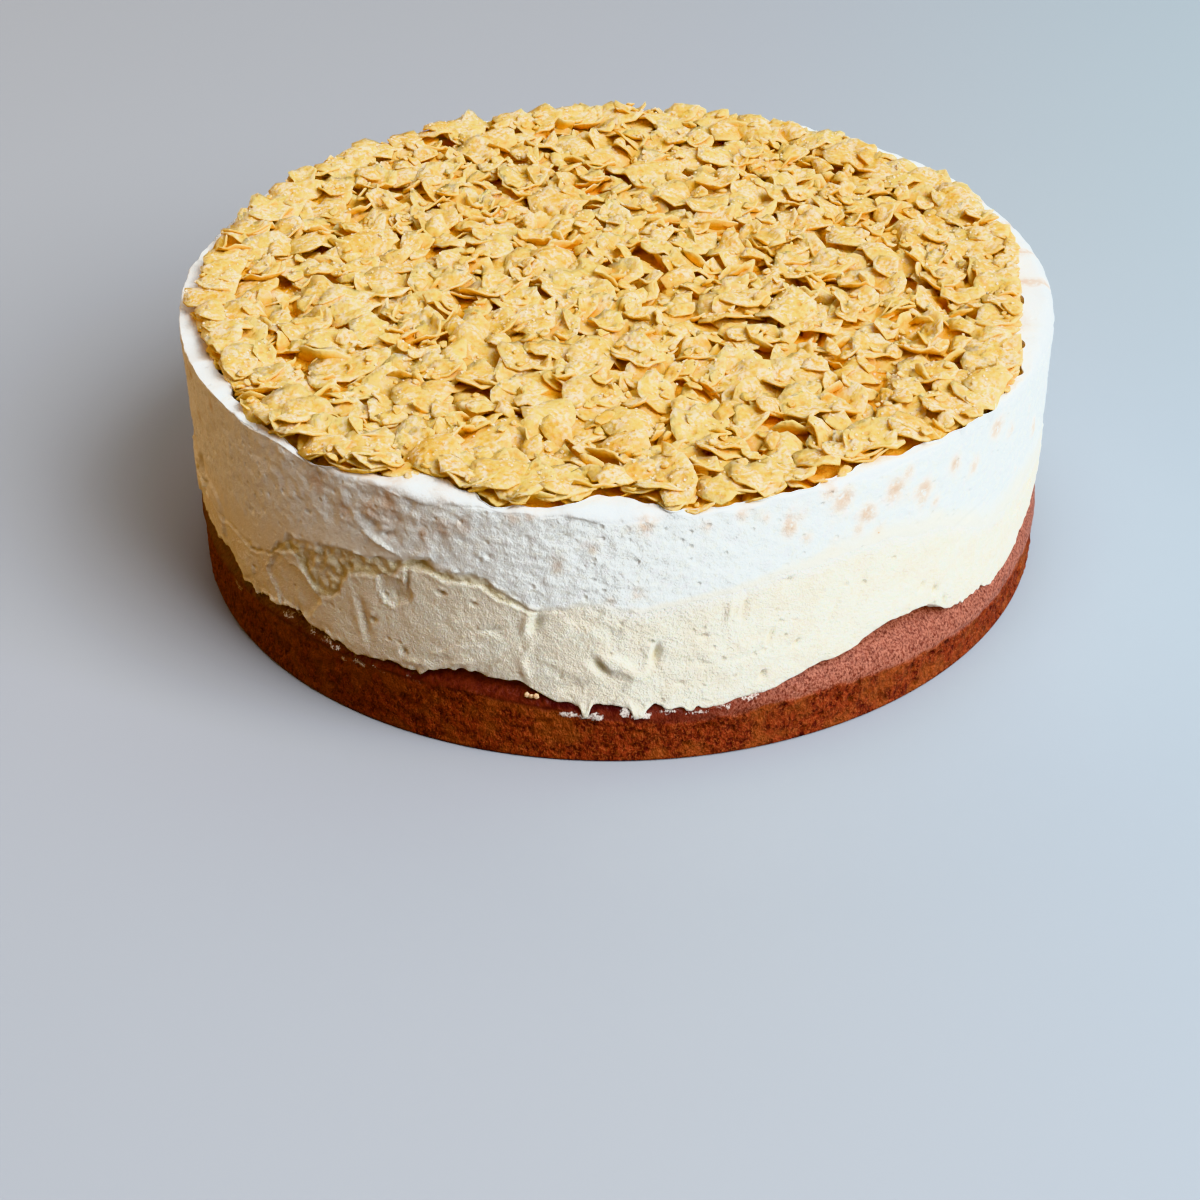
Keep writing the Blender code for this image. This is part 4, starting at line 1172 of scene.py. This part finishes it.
wallBits = []
for azimuth, height, size in cerealBits:
    if height > bitsLook["topMost"] or draw.random() < bitsLook["onlyStains"]:
        continue
    relief = float(wallRelief(azimuth, height)[0])
    away = Vector((*spotAt(1.0, azimuth), 0))
    spot = away * (cakeRadius + min(relief, -0.5) - bitsLook["sink"]) + Vector((0, 0, height))
    turned = facing(away, draw.uniform(0, fullTurn))
    lean = [draw.uniform(-bitsLook["lean"], bitsLook["lean"]) for axis in "xy"]
    turned = turned @ Euler((*lean, 0)).to_matrix()
    scale = size / bitsLook["kindSize"] * bitsLook["scale"]
    wallBits.append((tuple(spot), tuple(turned.to_euler()), scale, draw.randrange(len(crumbShapes)),
                     draw.random()))
for shift in (-0.5, 0.0, 0.6):  # parts of the crumb on the sponge
    azimuth, height = bitsLook["stuckAt"]
    spot = onCake(cakeRadius - 0.8, azimuth + shift, height + 0.5 * abs(shift))
    turn = (draw.uniform(0, 3), draw.uniform(0, 3), draw.uniform(0, 3))
    wallBits.append((tuple(spot), turn, bitsLook["stuckScale"], draw.randrange(len(crumbShapes)), 1.0))
scatterPiece("cerealBits", wallBits, [item.copy() for item in crumbShapes], soakedMaterial())


# stage, light and camera; the stage and the lights are measured in metres
stageLook = {"floor": (0.383, 0.404, 0.452), "floorRight": (0.37, 0.448, 0.512),
             "warmBounce": (0.16, 0.078, 0.027), "coolBounce": (0.45, 0.49, 0.52),
             "worldLeft": (0.27, 0.105, 0.026), "worldRight": (0.84, 0.95, 0.97), "floorReach": 6.0,
             "floorHeight": -0.0002, "floorChange": (-0.05, 0.3), "bounceChange": (-0.08, 0.06),
             "roomTilt": 0.8, "roomChange": (-0.15, 0.84), "aim": (0, 0, 0.04), "worldStrength": 0.54,
             "key": (0.965, 1.0, 1.02), "keyPower": 64.0, "fill": (1.0, 0.63, 0.27), "fillPower": 6.4,
             "back": (1.0, 0.92, 0.80), "backPower": 12.0}
cameraLook = {"place": (0.0, -531.4, 340.4), "pitch": 35.08, "yaw": -0.615, "roll": -1.07, "lens": 67.1,
              "sensor": 36}


def makeStage():
    look = stageLook
    far, low = look["floorReach"], look["floorHeight"]
    mesh = bpy.data.meshes.new("floor")
    corners = [(-far, -far, low), (far, -far, low), (far, far, low), (-far, far, low)]
    mesh.from_pydata(corners, [], [(0, 1, 2, 3)])
    floor = newObject("floor", mesh)
    material, tree, shader = newMaterial("paleFloor")
    across = addNode(tree, "ShaderNodeSeparateXYZ", Vector=objectPlace(tree)).outputs["X"]
    # the floor the camera sees is paler and bluer towards the right: painted light from that side
    pale = mixColour(tree, ramp(tree, across, *look["floorChange"]), look["floor"], look["floorRight"])
    bounce = mixColour(tree, ramp(tree, across, *look["bounceChange"]), look["warmBounce"],
                       look["coolBounce"])
    seen = addNode(tree, "ShaderNodeLightPath").outputs["Is Camera Ray"]
    setSurface(tree, shader, mixColour(tree, seen, bounce, pale), 0.8)  # warmer light from the left
    mesh.materials.append(material)
    world = bpy.data.worlds.new("studio")  # the room is brighter and cooler on the right
    bpy.context.scene.world = world
    world.use_nodes = True
    tree = world.node_tree
    ahead = addNode(tree, "ShaderNodeTexCoord").outputs["Generated"]
    way = addNode(tree, "ShaderNodeSeparateXYZ", Vector=ahead)
    side = calc(tree, "MULTIPLY_ADD", way.outputs["Z"], look["roomTilt"], way.outputs["X"])
    room = mixColour(tree, ramp(tree, side, *look["roomChange"]), look["worldLeft"], look["worldRight"])
    sky = tree.nodes["Background"].inputs
    plug(tree, sky[0], room)
    plug(tree, sky[1], look["worldStrength"])
    bpy.context.scene.view_settings.view_transform = "Khronos PBR Neutral"


def addLight(name, place, size, power, colour):
    light = bpy.data.lights.new(name, "AREA")
    light.shape = "RECTANGLE"
    light.size, light.size_y = size
    light.energy = power
    light.color = colour
    made = newObject(name, light)
    made.location = place
    made.rotation_euler = (Vector(stageLook["aim"]) - Vector(place)).to_track_quat("-Z", "Y").to_euler()


def makeCamera():
    pitch, yaw, roll = (math.radians(cameraLook[key]) for key in ("pitch", "yaw", "roll"))
    ahead = Vector((math.sin(yaw) * math.cos(pitch), math.cos(yaw) * math.cos(pitch), -math.sin(pitch)))
    right = Vector((math.cos(yaw), -math.sin(yaw), 0))
    up = right.cross(ahead)
    turned = math.cos(roll) * right + math.sin(roll) * up
    matrix = Matrix((turned, turned.cross(ahead), -ahead)).transposed().to_4x4()
    matrix.translation = Vector(cameraLook["place"]) * mm
    data = bpy.data.cameras.new("camera")
    data.lens = cameraLook["lens"]
    data.sensor_width = cameraLook["sensor"]
    camera = newObject("camera", data)
    camera.matrix_world = matrix
    bpy.context.scene.camera = camera


makeStage()
addLight("windowLight", (1.14, -0.88, 1.4), (1.24, 1.69), stageLook["keyPower"], stageLook["key"])
addLight("warmFill", (-1.3, 0.4, 0.26), (1.0, 0.3), stageLook["fillPower"], stageLook["fill"])
addLight("backGlow", (-0.5, 2.0, 1.5), (2.2, 1.6), stageLook["backPower"], stageLook["back"])
makeCamera()
print("stage, light and camera")
